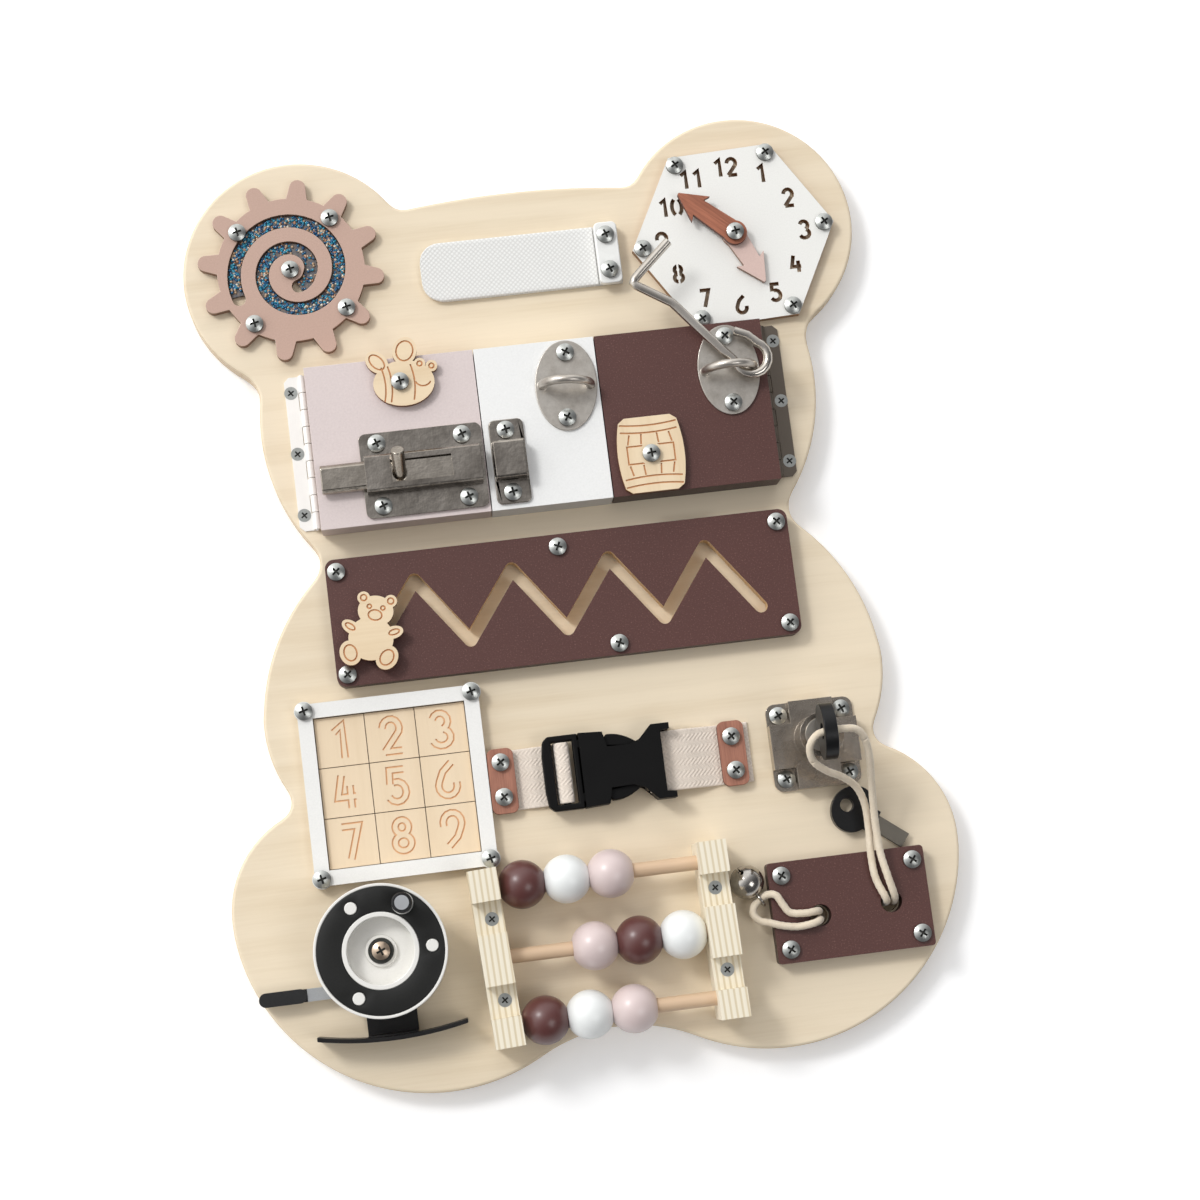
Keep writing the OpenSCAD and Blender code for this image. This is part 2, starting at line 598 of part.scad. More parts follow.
// Bee that spins on one screw
bee_line = 0.7;
bee_body_rx = 13.2;
bee_body_ry = 10;
bee_wings = [[[3.4, 13.4], 5.2, 6.2, -18], [[-9, 9.6], 5.6, 4.2, 130]];
module bee() {
    color("#e8cfa4") at(bee_c, figure_z) difference() {
        linear_extrude(figure_t) {
            oval2d([1.6, -0.6], bee_body_rx, bee_body_ry);
            for (w = bee_wings) oval2d(w[0], w[1], w[2], w[3]);
            for (x = [9.2, 14.2]) translate([x, 7.2 - (x - 9) * 0.3]) circle(2.5, $fn = 32);
        }
        translate([0, 0, -1]) cylinder(r = shank_r + pin_gap, h = figure_t + 2, $fn = 32);
        translate([0, 0, figure_t - engrave]) linear_extrude(1) {
            for (w = bee_wings) oval_line2d(w[0], w[1] - 1.6, w[2] - 1.8, w[3], 20);
            for (x = [-7.4, -4.6, 5.2]) band([for (i = [-4 : 4]) [x + 1.1 - i * i * 0.07, -0.6
                + i * 2.1 * (1 - abs(x) * 0.012)]], line_w);
            for (x = [9.2, 14.2]) translate([x, 7.2 - (x - 9) * 0.3]) difference() {
                circle(1.4, $fn = 24);
                circle(0.7, $fn = 16);
            }
            band(arc([10, 0.6], 3.6, 3.4, 200, 330, 8), line_w);
        }
    }
}

// Brown door with a staple, the long hook and a barrel figure
staple_c = [82.4, 87];
staple_w = 27;
staple_h = 40;
barrel_fig_c = [43.8, 53.4];
staple_screws = [for (s = [-1, 1]) staple_c + [0, 14.8 * s]];
module brown_door() {
    color("#5b3330") door_block(door_edge(1) - door_w, concat(staple_screws, [barrel_fig_c]), 9);
}
plate_t = 1.2;
eye_r = 10.5;               // middle radius of a staple's wire loop
arch_z = 2;                 // height of the loop's straight feet
module staple(c, a, screws) {
    difference() {
        union() {
            at(c, door_top) rotate(a) linear_extrude(plate_t)
                polygon([for (i = [0 : 47]) [staple_w / 2 * cos(7.5 * i), staple_h / 2 * sin(7.5 * i)]]);
            at(c, door_top + plate_t / 2) rotate(a) {
                for (s = [-1, 1]) translate([s * eye_r, 0, 0]) cylinder(d = staple_d, h = arch_z, $fn = 32);
                translate([0, 0, arch_z]) rotate([90, 0, 0])
                    rotate_extrude(angle = 180, $fn = 64) translate([eye_r, 0]) circle(d = staple_d,
                        $fn = 32);
            }
        }
        holes(screws, clear_r, door_top - 1, 6);
    }
}
module door_staple() { color("#9a948c") staple(staple_c, 0, staple_screws); }
hook_z = door_top + plate_t + head_h + run_gap + hook_d / 2;
// The rod's middle line: its long arm, then round the staple's leg to the short tail
leg_x = sqrt(pow(eye_r, 2) - pow(hook_z - door_top - plate_t / 2 - arch_z, 2));
leg = staple_c + [leg_x, 0];       // the staple leg inside the hook's eye
hook_eye_r = 7.2;
eye_c = leg + [0, hook_eye_r - hook_d / 2 - staple_d / 2 - run_gap];
function eye_at(a) = eye_c + hook_eye_r * [cos(a), sin(a)];
hook_arm = [[62.8, 145.4], [57.6, 140.7], [48.6, 132.6], [46.2, 130.2], [45.4, 128.5], [46.5, 127.3],
    [49, 125.7],
    [58.4, 119.7], [60.9, 118.1], [62.7, 116], [72, 104.5], [80.2, 94.6], [83.9, 90.4]];
hook_eye = [for (i = [0 : 11]) eye_at(196 + i * 20.9)];
hook_tail = [[91.8, 100.1], [86.2, 102.6]];
hook_path = [for (q = concat(hook_arm, hook_eye, hook_tail)) [q[0], q[1], hook_z]];
module hook() { color("#8f8880") tube(hook_path, hook_d, 16); }
barrel_w = 29;
barrel_h = 33;
function bulge(y, w) = w / 2 * (1 - 0.16 * pow(2 * y / barrel_h, 2)) - (abs(y) > barrel_h / 2 - 2
    ? (abs(y) - barrel_h / 2 + 2) * 1.1 : 0);
function barrel_side(w, m) = [for (i = [-8 : 8]) let (y = i * (barrel_h / 2 - m) / 8) [bulge(y, w), y]];
module barrel_shape2d(w, m) { polygon(concat(barrel_side(w, m), turned(flipped(barrel_side(w, m))))); }
module barrel() {
    color("#e8cfa4") at(barrel_fig_c, figure_z) difference() {
        linear_extrude(figure_t) barrel_shape2d(barrel_w, 0);
        translate([0, 0, -1]) cylinder(r = shank_r + pin_gap, h = figure_t + 2, $fn = 32);
        translate([0, 0, figure_t - engrave]) linear_extrude(1) {
            for (y = [-13, -9.6, 9.4, 12.6]) band([for (i = [-4 : 4]) [i * 3.1, y - (y > 0 ? -1 : 1)
                * (i * i) * 0.06]], line_w);
            for (x = [-8.6, -3.4, 3.4, 8.6]) {
                band([[x, 9], [x * 1.12, 4.6]], line_w);
                band([[x * 1.12, -4.6], [x, -9]], line_w);
            }
            difference() {
                square([21, 8.4], center = true);
                square([21 - 2 * line_w, 8.4 - 2 * line_w], center = true);
                circle(5.2);
            }
        }
    }
}
module brown_door_screws() {
    color("#c9ccce") {
        for (p = staple_screws) pan_screw(p, door_top + plate_t, 7, 40);
        pan_screw(barrel_fig_c, figure_z + figure_t + run_gap, 8.5, 5);
    }
}

// Centre panel with the bolt's keeper and the second staple
keeper_c = [-17, 57.4];
keeper_w = 15;
keeper_screws = [for (s = [-1, 1]) keeper_c + [-0.3, 13.7 * s]];
panel_staple_c = [11.2, 87.9];
staple_turn = -5;
panel_staple_screws = [for (s = [-1, 1]) panel_staple_c + 14.4 * s * [sin(-staple_turn), cos(staple_turn)]];
panel_x0 = panel_c[0] - panel_w / 2;
module center_panel() {
    color("#eeeeea") difference() {
        translate([panel_x0, band_y0, T]) cube([panel_w, door_h, door_top - T]);
        holes(concat(keeper_screws, panel_staple_screws), pilot_r, T - 1, 20);
    }
}
module bolt_keeper() {
    color("#8d867e") difference() {
        union() {
            translate([keeper_c[0], keeper_c[1], door_top]) linear_extrude(sheet_t) plate2d(keeper_w,
                bolt_plate_h, 2.6);
            cover([keeper_c[0], bolt_c[1]], keeper_w - 1.5, bar_w + 4 * run_gap, cover_h + run_gap, 1.4);
        }
        holes(keeper_screws, clear_r, door_top - 1, 6);
    }
}
module panel_staple() { color("#a8a39b") staple(panel_staple_c, staple_turn, panel_staple_screws); }

// ---------- zigzag maze and its bear slider ----------
leg_dx = (zig_w - 32.8) / 8;
zig_x0 = 15.9 - zig_w / 2;  // where the groove starts
zig_low = -16.5;
zig_high = 12.2;
zig_path = [for (i = [0 : zig_legs]) [zig_x0 + leg_dx * i, i % 2 == 0 ? zig_low : zig_high]];
module zigzag2d(w) { groove2d(groove_side(zig_path, w), groove_side(zig_path, -w), zig_path, w); }
pin_d = groove_w - 2 * run_gap;
guide_t = 1.6;            // foot of the slider under the plate's lips
guide_d = groove_w + 3;
module zigzag_plate() {
    color("#5b3330") difference() {
        at(zig_c, T) linear_extrude(zig_t) plate2d(zig_w, zig_h, 4);
        translate([0, 0, T - 1]) linear_extrude(zig_t + 2) zigzag2d(groove_w);
        // undercut that keeps the slider's foot in the groove
        translate([0, 0, T - 1]) linear_extrude(guide_t + run_gap + 1) zigzag2d(guide_d + 2 * run_gap);
        holes(concat(zig_screws, zig_mid_screws), clear_r, T - 1, zig_t + 2);
    }
}
leg_len = norm(zig_path[1] - zig_path[0]);
leg_dir = (zig_path[1] - zig_path[0]) / leg_len;
slider_start = 2;
slider_c = zig_path[0] + slider_start * leg_dir;
bear_lift = head_h + 0.4;
bear_z = T + zig_t + bear_lift;
module slider_pin() {
    color("#c2a878") at(slider_c) {
        translate([0, 0, T + run_gap / 2]) cylinder(d = guide_d, h = guide_t, $fn = 40);
        translate([0, 0, T + run_gap]) cylinder(d = pin_d, h = zig_t - run_gap + bear_lift - run_gap,
            $fn = 40);
        translate([0, 0, bear_z - run_gap - 0.5]) cylinder(r = 1.5, h = 2.5, $fn = 24);
    }
}
bear_turn = -14;
bear_off = [-0.4, 6.6];   // from the pin to the middle of the figure
module bear2d() {
    oval2d([0, -3.4], 9.6, 9.4);                       // body
    oval2d([0.4, 8.6], 7.6, 6.6);                      // head
    for (s = [-1, 1]) {
        oval2d([0.4 + 5.8 * s, 13.6], 2.7, 2.7, 0, 24);       // ears
        oval2d([9 * s, 0.4], 4.4, 2.7, 25 * s, 24);           // arms
        oval2d([7.8 * s, -10.6], 4.6, 5.4, -25 * s, 28);      // feet
    }
}
module bear_lines2d() {
    oval_line2d([0.4, 6.8], 2.9, 2.2, 0, 20);
    for (s = [-1, 1]) {
        oval_line2d([0.4 + 2.9 * s, 10.2], 0.9, 0.9, 0, 14);
        oval_line2d([0.4 + 5.8 * s, 13.6], 1.3, 1.3, 0, 14);
        oval_line2d([7.8 * s, -10.6], 2.7, 3.5, -25 * s, 20);
        oval_line2d([9.4 * s, 0.6], 2.3, 1.1, 25 * s, 16);
    }
}
module bear() {
    color("#ead0a8") at(slider_c + bear_off, bear_z) difference() {
        rotate(bear_turn) linear_extrude(figure_t) bear2d();
        translate([0, 0, figure_t - engrave]) rotate(bear_turn) linear_extrude(1) bear_lines2d();
        translate([-bear_off[0], -bear_off[1], -1]) cylinder(r = 1.5 + pin_gap, h = figure_t, $fn = 24);
    }
}

// ---------- number frame ----------
frame_bar = 6.4;
lug_r = 4.2;
module number_frame() {
    color("#efefeb") difference() {
        union() {
            at(frame_c, T) linear_extrude(frame_t) square(window_w + 2 * frame_bar, center = true);
            for (p = frame_screws) at(p, T) cylinder(r = lug_r, h = frame_t, $fn = 48);
        }
        at(frame_c, T - 1) linear_extrude(frame_t + 2) square(window_w, center = true);
        holes(frame_screws, clear_r, T - 1, frame_t + 2);
    }
}
tile_gap = 0.35;
tile_w = (window_w - 4 * tile_gap) / 3;
tile_digit_h = 16.5;
tile_digit_w = 2.6;
module number_tiles() {
    color("#e6cfa9") for (i = [0 : 8]) {
        c = frame_c + (tile_w + tile_gap) * [i % 3 - 1, 1 - floor(i / 3)];
        difference() {
            at(c - tile_w / 2 * [1, 1], T) cube([tile_w, tile_w, tile_t]);
            // outline of the numeral, engraved
            at(c, T + tile_t - engrave) linear_extrude(1) difference() {
                numeral2d(i + 1, tile_digit_h, tile_digit_w + line_w, 0);
                numeral2d(i + 1, tile_digit_h, tile_digit_w - line_w, 0);
            }
        }
    }
}

// ---------- buckle strap ----------
clamp_len = 28;
strap_clamp_w = 11.4;
strap_clamp_t = 3.2;
strap_clamp_x = [-36.2, 63.7];
module strap_clamps() {
    color("#a5624a") difference() {
        for (x = strap_clamp_x) translate([x, strap_y, T + web_t]) linear_extrude(strap_clamp_t)
            plate2d(strap_clamp_w, clamp_len, 3);
        holes(strap_screws, clear_r, T, 8);
    }
}
mid_z = T + 6.8;            // middle height of the buckle
plug_x0 = -18.6;            // ladder end of the plug
mouth_x = -2.3;             // mouth of the socket
socket_x1 = 35.8;           // webbing end of the socket
arm_x1 = 22.4;              // tips of the prongs
bar_x = -9.9;               // bar that the webbing goes round
web_lo = -2.9;              // webbing under the plug's end, from the middle height
function web_path(side) = side < 0 ?
    [[strap_clamp_x[0] - 5.5, web_t / 2], [-29.8, web_t / 2], [-23, 1.6], [-17.5, 1.75], [-13.6, 2.5],
        [-12.9, 5.2], [-12.6, 8.2], [-11.3, 9.4], [-8.5, 9.4], [-7.4, 8.2], [-7.3, 5.4], [-7.6, 3.6]] :
    [[71.6, web_t / 2], [57.2, web_t / 2], [50, 2.6], [43.5, 4.6], [37, 5.2], [33, 4.7], [29.6, 4.4],
        [27.2, 5],
        [26.4, 6.8], [27.2, 8.6], [29.6, 9.2], [33, 9.1]];
module straps() {
    color("#e2d6c8") for (s = [-1, 1])
        difference() {
            translate([0, strap_y + web_w / 2, T]) rotate([90, 0, 0]) linear_extrude(web_w)
                band(web_path(s), web_t);
            holes(strap_screws, clear_r, T - 1, 4);
        }
}
module mid_slab(z0, z1) { translate([0, strap_y, mid_z + z0]) linear_extrude(z1 - z0) children(); }
buckle_w = 32;
slot_half = web_w / 2 + 0.4;
arm_half = 14.2;            // outer face of a prong's button
module plug_arm2d() {
    polygon(concat([[-3.6, 9.6], [-3.6, 13.4], [3, 13.2], [8.2, 12.6], [9.6, 14.2]],
        [for (i = [0 : 6]) [10.6 + i * 1.9, arm_half - i * i * 0.12]], [[arm_x1, 8.8], [18, 8.2], [8,
            9.4]]));
}
module buckle_plug() {
    color("#17171a") {
        difference() {
            mid_slab(-3.4, 3.4) difference() {
                union() {
                    translate([plug_x0 + 3, -buckle_w / 2]) square([mouth_x - run_gap - plug_x0 - 3,
                        buckle_w]);
                    polygon([[plug_x0 + 3, -buckle_w / 2], [plug_x0 + 0.8, 2 - buckle_w / 2], [plug_x0,
                        -8], [plug_x0, 8],
                        [plug_x0 + 0.8, buckle_w / 2 - 2], [plug_x0 + 3, buckle_w / 2]]);
                }
                translate([-14.2, -slot_half]) square([9.2, 2 * slot_half]);
            }
        }
        mid_slab(-1.6, 1.2) translate([bar_x - 1.4, -slot_half - 0.5]) square([2.8, 2 * slot_half + 1]);
        mid_slab(-3.4, 3.4) for (s = [0, 1]) mirror([0, s]) plug_arm2d();
        mid_slab(-2, 2) translate([-3.6, -3.5]) square([18, 7]);
    }
}
cavity_z = 3.7;
module socket2d() {
    polygon([[mouth_x, -buckle_w / 2], [8, 0.6 - buckle_w / 2], [9.4, -8.8], [19, -8.6], [23.6, -10.4],
        [29, -buckle_w / 2],
        [36.8, -buckle_w / 2], [36.8, 2.6 - buckle_w / 2], [32.8, 3 - buckle_w / 2], [32.8,
            buckle_w / 2 - 3],
        [36.8, buckle_w / 2 - 2.6], [36.8, buckle_w / 2], [29, buckle_w / 2], [23.6, 10.4], [19, 8.6],
            [9.4, 8.8],
        [8, buckle_w / 2 - 0.6], [mouth_x, buckle_w / 2]]);
}
module buckle_socket() {
    color("#17171a") {
        difference() {
            mid_slab(-buckle_t / 2, buckle_t / 2) socket2d();
            // cavity for the prongs and the tongue
            mid_slab(-cavity_z, cavity_z) translate([mouth_x - 1, -arm_half - 0.4]) square([1
                + 24 - mouth_x, 2 * arm_half + 0.8]);
            // mouth for the webbing
            mid_slab(-3.8, 3.6) translate([25.2, -slot_half]) square([20, 2 * slot_half]);
        }
        translate([29.6, strap_y, mid_z]) rotate([90, 0, 0]) cylinder(r = 1.3, h = 2 * slot_half + 1,
            center = true, $fn = 32);
    }
}

// ---------- lock ----------
keyway_w = 2.4;
blade_w = 8;
blade_t = 2;
cyl_r = lock_barrel_d / 2 - 2.2;
case_top = T + lock_t;
barrel_top = case_top + lock_barrel_h;
tongue_w = 15;
tongue_t = 3;
tongue_z = T + 2.5;
module lock_case() {
    color("#a39d94") difference() {
        union() {
            at(lock_c, T) linear_extrude(lock_t) plate2d(lock_w, lock_w, 4);
            at(barrel_c, case_top) cylinder(d = lock_barrel_d, h = lock_barrel_h, $fn = 64);
        }
        // a pocket in each corner lets the screw heads down to the flange
        for (x = [-1, 1], y = [-1, 1]) at(lock_c + [x, y] * (lock_w / 2 - 4.5), T + 1.6)
            linear_extrude(lock_t) square(9.8, center = true);
        holes(lock_screws, clear_r, T - 1, 6);
        at(barrel_c, T + 6.2) cylinder(r = cyl_r, h = 40, $fn = 64);
        // channel of the sliding tongue
        translate([barrel_c[0] - tongue_w / 2 - run_gap, lock_c[1] - 6, tongue_z - run_gap])
            cube([tongue_w + 2 * run_gap, lock_w / 2 + 7, tongue_t + 2 * run_gap]);
        at(barrel_c, tongue_z + 1) cylinder(r = crank_r + 2 * run_gap, h = 5, $fn = 48);
    }
}
tongue_throw = 7;
// The cylinder's crank peg goes a quarter turn, from one side of the middle to the other
peg_r = 1.2;
peg_orbit = tongue_throw / 2 / sin(45);
peg_slack = peg_r + run_gap + 0.15;     // half the slot: the peg's arc isn't quite even with the turn
crank_r = peg_orbit + peg_r;
module lock_tongue() {
    color("#b9a06a") difference() {
        translate([barrel_c[0] - tongue_w / 2, lock_c[1] - 6 + run_gap, tongue_z])
            cube([tongue_w, lock_w / 2 + 6 - run_gap, tongue_t]);
        // cross slot for the cylinder's crank peg
        translate([barrel_c[0] + tongue_throw / 2 - peg_r - run_gap, barrel_c[1] - tongue_throw / 2
            - peg_slack, tongue_z - 1])
            cube([peg_orbit - tongue_throw / 2 + 2 * (peg_r + run_gap), 2 * peg_slack, 6]);
    }
}
module lock_cylinder() {
    color("#bdb7ad") difference() {
        union() {
            at(barrel_c, T + 6.2) cylinder(r = cyl_r - pin_gap, h = barrel_top - T - 6.2 + 0.6, $fn = 64);
            at(barrel_c, tongue_z + tongue_t + run_gap) cylinder(r = crank_r + run_gap, h = 2, $fn = 48);
            at(barrel_c + tongue_throw / 2 * [1, -1], tongue_z + run_gap)
                cylinder(r = peg_r, h = tongue_t + 1.5, $fn = 24);
        }
        at(barrel_c, key_z - key_pull - run_gap) translate([-keyway_w / 2, -blade_w / 2 - 0.2, 0])
            cube([keyway_w, blade_w + 0.4, 40]);
    }
}
key_pull = 17;            // how far the blade goes in
bow_w = 24;
bow_h = 22;
bow_t = 5.6;
bow_hole_r = 3.4;
// A key in its own frame: blade along -Z from the bow, bow in the YZ plane
module key_shape() {
    difference() {
        union() {
            translate([-blade_t / 2, -blade_w / 2, -key_pull]) cube([blade_t, blade_w, key_pull + 3.5]);
            translate([-blade_t / 2 - 0.6, -6, 0.6]) cube([blade_t + 1.2, 12, 4]);
        }
        for (i = [0 : 3]) translate([-3, blade_w / 2, -key_pull + 3 + i * 3.4]) rotate([45, 0, 0])
            cube([6, 1.6, 1.6], center = true);
    }
    difference() {
        translate([-bow_t / 2, 0, 2.4 + bow_h / 2]) rotate([90, 0, 90]) linear_extrude(bow_t)
            polygon([for (i = [0 : 39]) [bow_w / 2 * cos(9 * i), bow_h / 2 * sin(9 * i) * (sin(9 * i)
                < 0 ? 0.96 : 1)]]);
        translate([0, 0, 2.4 + bow_h * 0.68]) rotate([0, 90, 0]) cylinder(r = bow_hole_r, h = 20,
            center = true, $fn = 40);
        translate([-blade_t / 2 - 0.6, -6, -1]) cube([blade_t + 1.2, 12, 5.6]);
    }
}
key_z = barrel_top + 0.6 + run_gap;
module key() { color("#1c1c1f") at(barrel_c, key_z) key_shape(); }
spare_c = [112.2, -108.2];
spare_turn = -38;
spare_k = 0.86;
module spare_key() {
    color("#1c1c1f") at(spare_c, T + spare_k * bow_t / 2 + 0.1) rotate(spare_turn) scale(spare_k)
        translate([2.4 + bow_h / 2, 0, 0]) rotate([0, -90, 0]) key_shape();
}

// ---------- cord plate, bell and cords ----------
cord_hole = [122.3, -149.3];
bell_hole = [91.3, -151.3];
cord_plate_t = 8;
cord_top = T + cord_plate_t;
hole_r = 4.6;
module cord_plate() {
    color("#5b3330") difference() {
        at(cord_plate_c, T) linear_extrude(cord_plate_t) plate2d(cord_plate_w, cord_plate_h, 1.6);
        holes(cord_screws, clear_r, T - 1, cord_plate_t + 2);
        holes([cord_hole, bell_hole], hole_r, T - 1, cord_plate_t + 2);
    }
}
bell_r = 7.3;
bell_c = [61.8, -133.6];
bell_z = T + bell_r + 0.1;
loop_off = 9.2;             // from the bell's middle to the middle of its cord loop
module bell() {
    color("#c8c8cc") {
        at(bell_c, bell_z) rotate(30) difference() {
            union() {
                sphere(r = bell_r, $fn = 48);
                // loop that the cord is threaded through
                translate([0, -loop_off, 0]) rotate([90, 0, 90])
                    rotate_extrude($fn = 40) translate([2.9, 0]) circle(0.6, $fn = 16);
            }
            sphere(r = bell_r - 0.7, $fn = 48);
            for (a = [0, 90]) rotate([0, a, 0]) translate([-5, 0, -0.5]) cube([10, 12, 1]);
            for (a = [0, 90], s = [-1, 1]) rotate([0, a, 0]) translate([5 * s, 0, 0]) rotate([-90, 0, 0])
                cylinder(r = 1.1, h = 12, $fn = 20);
        }
        at(bell_c, bell_z - bell_r + 3) sphere(r = 2.1, $fn = 24);
    }
}

// A cord: a smooth tube through hand-chosen points
cord_d = 3.2;
function mixed(a, b, c, d, t) = // Catmull-Rom point between b and c
    0.5 * ((2 * b) + (c - a) * t + (2 * a - 5 * b + 4 * c - d) * t * t + (3 * b - a - 3 * c + d)
        * t * t * t);
function smooth(p, n) = concat([for (i = [0 : len(p) - 2], k = [0 : n - 1])
    mixed(p[max(i - 1, 0)], p[i], p[i + 1], p[min(i + 2, len(p) - 1)], k / n)], [p[len(p) - 1]]);
function unit3(v) = v / norm(v);
function way(p, i) = unit3(p[min(i + 1, len(p) - 1)] - p[max(i - 1, 0)]);
// Carry a cross direction along the path so that the tube never twists
function carry(p, i) = i == 0 ? unit3(cross(way(p, 0), [0.31, 0.95, 0.05])) :
    let (n = carry(p, i - 1), w = way(p, i)) unit3(n - (n * w) * w);
module tube(p, d, sides = 8) {
    rings = [for (i = [0 : len(p) - 1]) let (w = way(p, i), n = carry(p, i), b = cross(w, n))
        [for (k = [0 : sides - 1]) p[i] + d / 2 * (cos(360 * k / sides) * n + sin(360 * k / sides) * b)]];
    points = [for (r = rings, q = r) q];
    m = len(p);
    polyhedron(points, concat([[for (k = [0 : sides - 1]) k]], [for (i = [0 : m - 2], k = [0 : sides - 1])
        let (a = i * sides + k, b = i * sides + (k + 1) % sides) [b, a, a + sides, b + sides]],
        [[for (k = [sides - 1 : -1 : 0]) (m - 1) * sides + k]]));
}
// Up from the plate's hole, through the bow of the key in the lock, and back to the hole
key_route = [[124.2, -149.3, 8], [124.2, -149.3, 12], [124.2, -148.9, 17], [123.4, -146.3, 22.6],
    [121.4, -139, 25.2], [119.5, -129, 25.6], [118.8, -118, 27], [118.4, -108, 30.8], [117.9, -98, 36.6],
    [117.3, -88.6, 43.6], [115.2, -80.6, 49.8], [111.4, -76.7, 53.6], [106.4, -76, 55.2], [100.4, -76,
        55.3],
    [94.8, -77.2, 54.6], [91.6, -81.6, 51.2], [93, -87.4, 46.4], [98.8, -91.8, 41.6], [106, -95, 36.6],
    [112, -99.6, 31.8], [115.4, -107, 27.2], [116.2, -117, 23.8], [115.8, -128, 22.6], [116.4, -138.4,
        22.6],
    [119.4, -147, 22.8], [120.6, -148.9, 18.2], [120.4, -149.3, 12], [120.4, -149.3, 8]];
// From the second hole, through the bell's loop, and back
bell_route = [[91.3, -149.4, 8], [91.3, -149.4, 12], [91.2, -149.5, 17.5], [89.4, -149.3, 21.8],
    [84.6, -149.6, 23.2],
    [78.2, -148.6, 22.3], [75.4, -144.8, 22.5], [73, -140.6, 22.5], [69.6, -139.9, 21.1], [66.4,
        -141.6, 19.6],
    [63.6, -144, 19.2], [62.8, -147.4, 19.3], [65, -150.4, 19.9], [69, -151.8, 21.4], [74, -153.6, 22.1],
    [80, -154.8, 22.2], [85, -154.6, 23.4], [88.9, -153.9, 22.9], [90.8, -153.1, 20.2],
    [91.2, -153, 16.5], [91.3, -153.2, 12], [91.3, -153.2, 8]];
module key_cord() { color("#e9dcc4") tube(smooth(key_route, 2), cord_d); }
module bell_cord() { color("#e9dcc4") tube(smooth(bell_route, 2), cord_d); }

// ---------- reel ----------
base_t = 3;
axle_r = 4;
reel_top = T + reel_h;
spool_z = T + 9.5;
hub_outer = 13;
cup_r = 14;
cup_floor = reel_top - 9;
post_stub = cup_floor + 2;
stem_w = 21.4;
foot_y = -179.4;
foot_l = 63;
saddle_r = 150;
module reel_bracket() {
    color("#1b1b1d") difference() {
        union() {
            at(reel_c, T) cylinder(d = reel_d - 3, h = base_t, $fn = 128);
            translate([reel_c[0] - stem_w / 2 + 1, foot_y, T]) cube([stem_w, reel_c[1] - foot_y - 10,
                base_t]);
            // curved saddle foot, standing on its edge
            translate([reel_c[0] + 1, foot_y + saddle_r, T]) intersection() {
                difference() {
                    cylinder(r = saddle_r + 0.8, h = 16, $fn = 360);
                    translate([0, 0, -1]) cylinder(r = saddle_r - 1, h = 20, $fn = 360);
                }
                translate([-foot_l / 2, -saddle_r - 5, 0]) cube([foot_l, 20, 16]);
            }
            translate([reel_c[0] - stem_w / 2 + 1, foot_y, T]) cube([stem_w, 2, 12]);
            at(reel_c, T) cylinder(r = axle_r - pin_gap, h = post_stub - T, $fn = 48);
            at(lever_c, T) cylinder(r = 2.6, h = 4.6, $fn = 32);
        }
        at(reel_c, post_stub - grip) cylinder(r = pilot_r, h = 40, $fn = 24);
        at(lever_c, T + 2) cylinder(r = 1.2, h = 10, $fn = 24);
    }
}
module reel_spool() {
    r = reel_d / 2;
    color("#ecebe6") at(reel_c) difference() {
        union() {
            translate([0, 0, spool_z]) cylinder(r = r - 3, h = 2, $fn = 128);
            translate([0, 0, spool_z]) cylinder(r = hub_outer + 3, h = reel_top - 1 - spool_z, $fn = 96);
            translate([0, 0, reel_top - 4]) cylinder(r = r, h = 4, $fn = 128);
            for (a = [119, -1, -121]) rotate(a) translate([21.4, 0, reel_top - 1]) cylinder(d = 5.2,
                h = 1.6, $fn = 32);
        }
        // black face sits in this ring-shaped recess
        translate([0, 0, reel_top - 0.8]) difference() {
            cylinder(r = r - 1.2, h = 3, $fn = 128);
            translate([0, 0, -1]) cylinder(r = hub_outer + 3, h = 5, $fn = 96);
            for (a = [119, -1, -121]) rotate(a) translate([21.4, 0, -1]) cylinder(d = 5.2, h = 9, $fn = 32);
        }
        translate([0, 0, cup_floor]) difference() {
            cylinder(r = cup_r, h = 30, $fn = 96);
            translate([0, 0, -1]) cylinder(r = 6.6, h = 2.8, $fn = 48);
        }
        translate([0, 0, spool_z - 1]) cylinder(r = axle_r, h = 40, $fn = 48);
        rotate(59) translate([21.4, 0, reel_top - 5]) cylinder(r = 1.6, h = 10, $fn = 24);
    }
}
knob_c = reel_c + 21.4 * [cos(59), sin(59)];
module reel_knob() {
    color("#232326") at(knob_c, reel_top) {
        translate([0, 0, -0.4]) rotate_extrude($fn = 64) polygon([[0, 0], [4.2, 0], [3.6, 2], [3, 6],
            [3.4, 9.5], [4.3, 11.2], [4.3, 12.6], [3.6, 13.4], [0, 13.4]]);
        translate([0, 0, -4.2]) cylinder(r = 1.6 - pin_gap, h = 5, $fn = 24);
    }
}
lever_c = [-112, -157.4];
lever_z = T + 4.8;
module reel_lever() {
    color("#c9ccce") {
        at(lever_c, lever_z) {
            cylinder(r = 3, h = 1.8, $fn = 32);
            translate([-20, -2.7, 0]) cube([20, 5.4, 1.8]);
        }
        // rivet that it turns on
        at(lever_c, T + 2.3) cylinder(r = 1.2 - pin_gap, h = lever_z - T - 2, $fn = 24);
        at(lever_c, lever_z + 1.8) cylinder(r = 2, h = 0.7, $fn = 24);
        at(lever_c + [-26.4, 0], lever_z - 1.4) difference() {
            linear_extrude(4.6) plate2d(20, 6, 2.9);
            translate([6.4, -2.7, 1.4]) cube([5, 5.4, 1.8]);
        }
    }
}

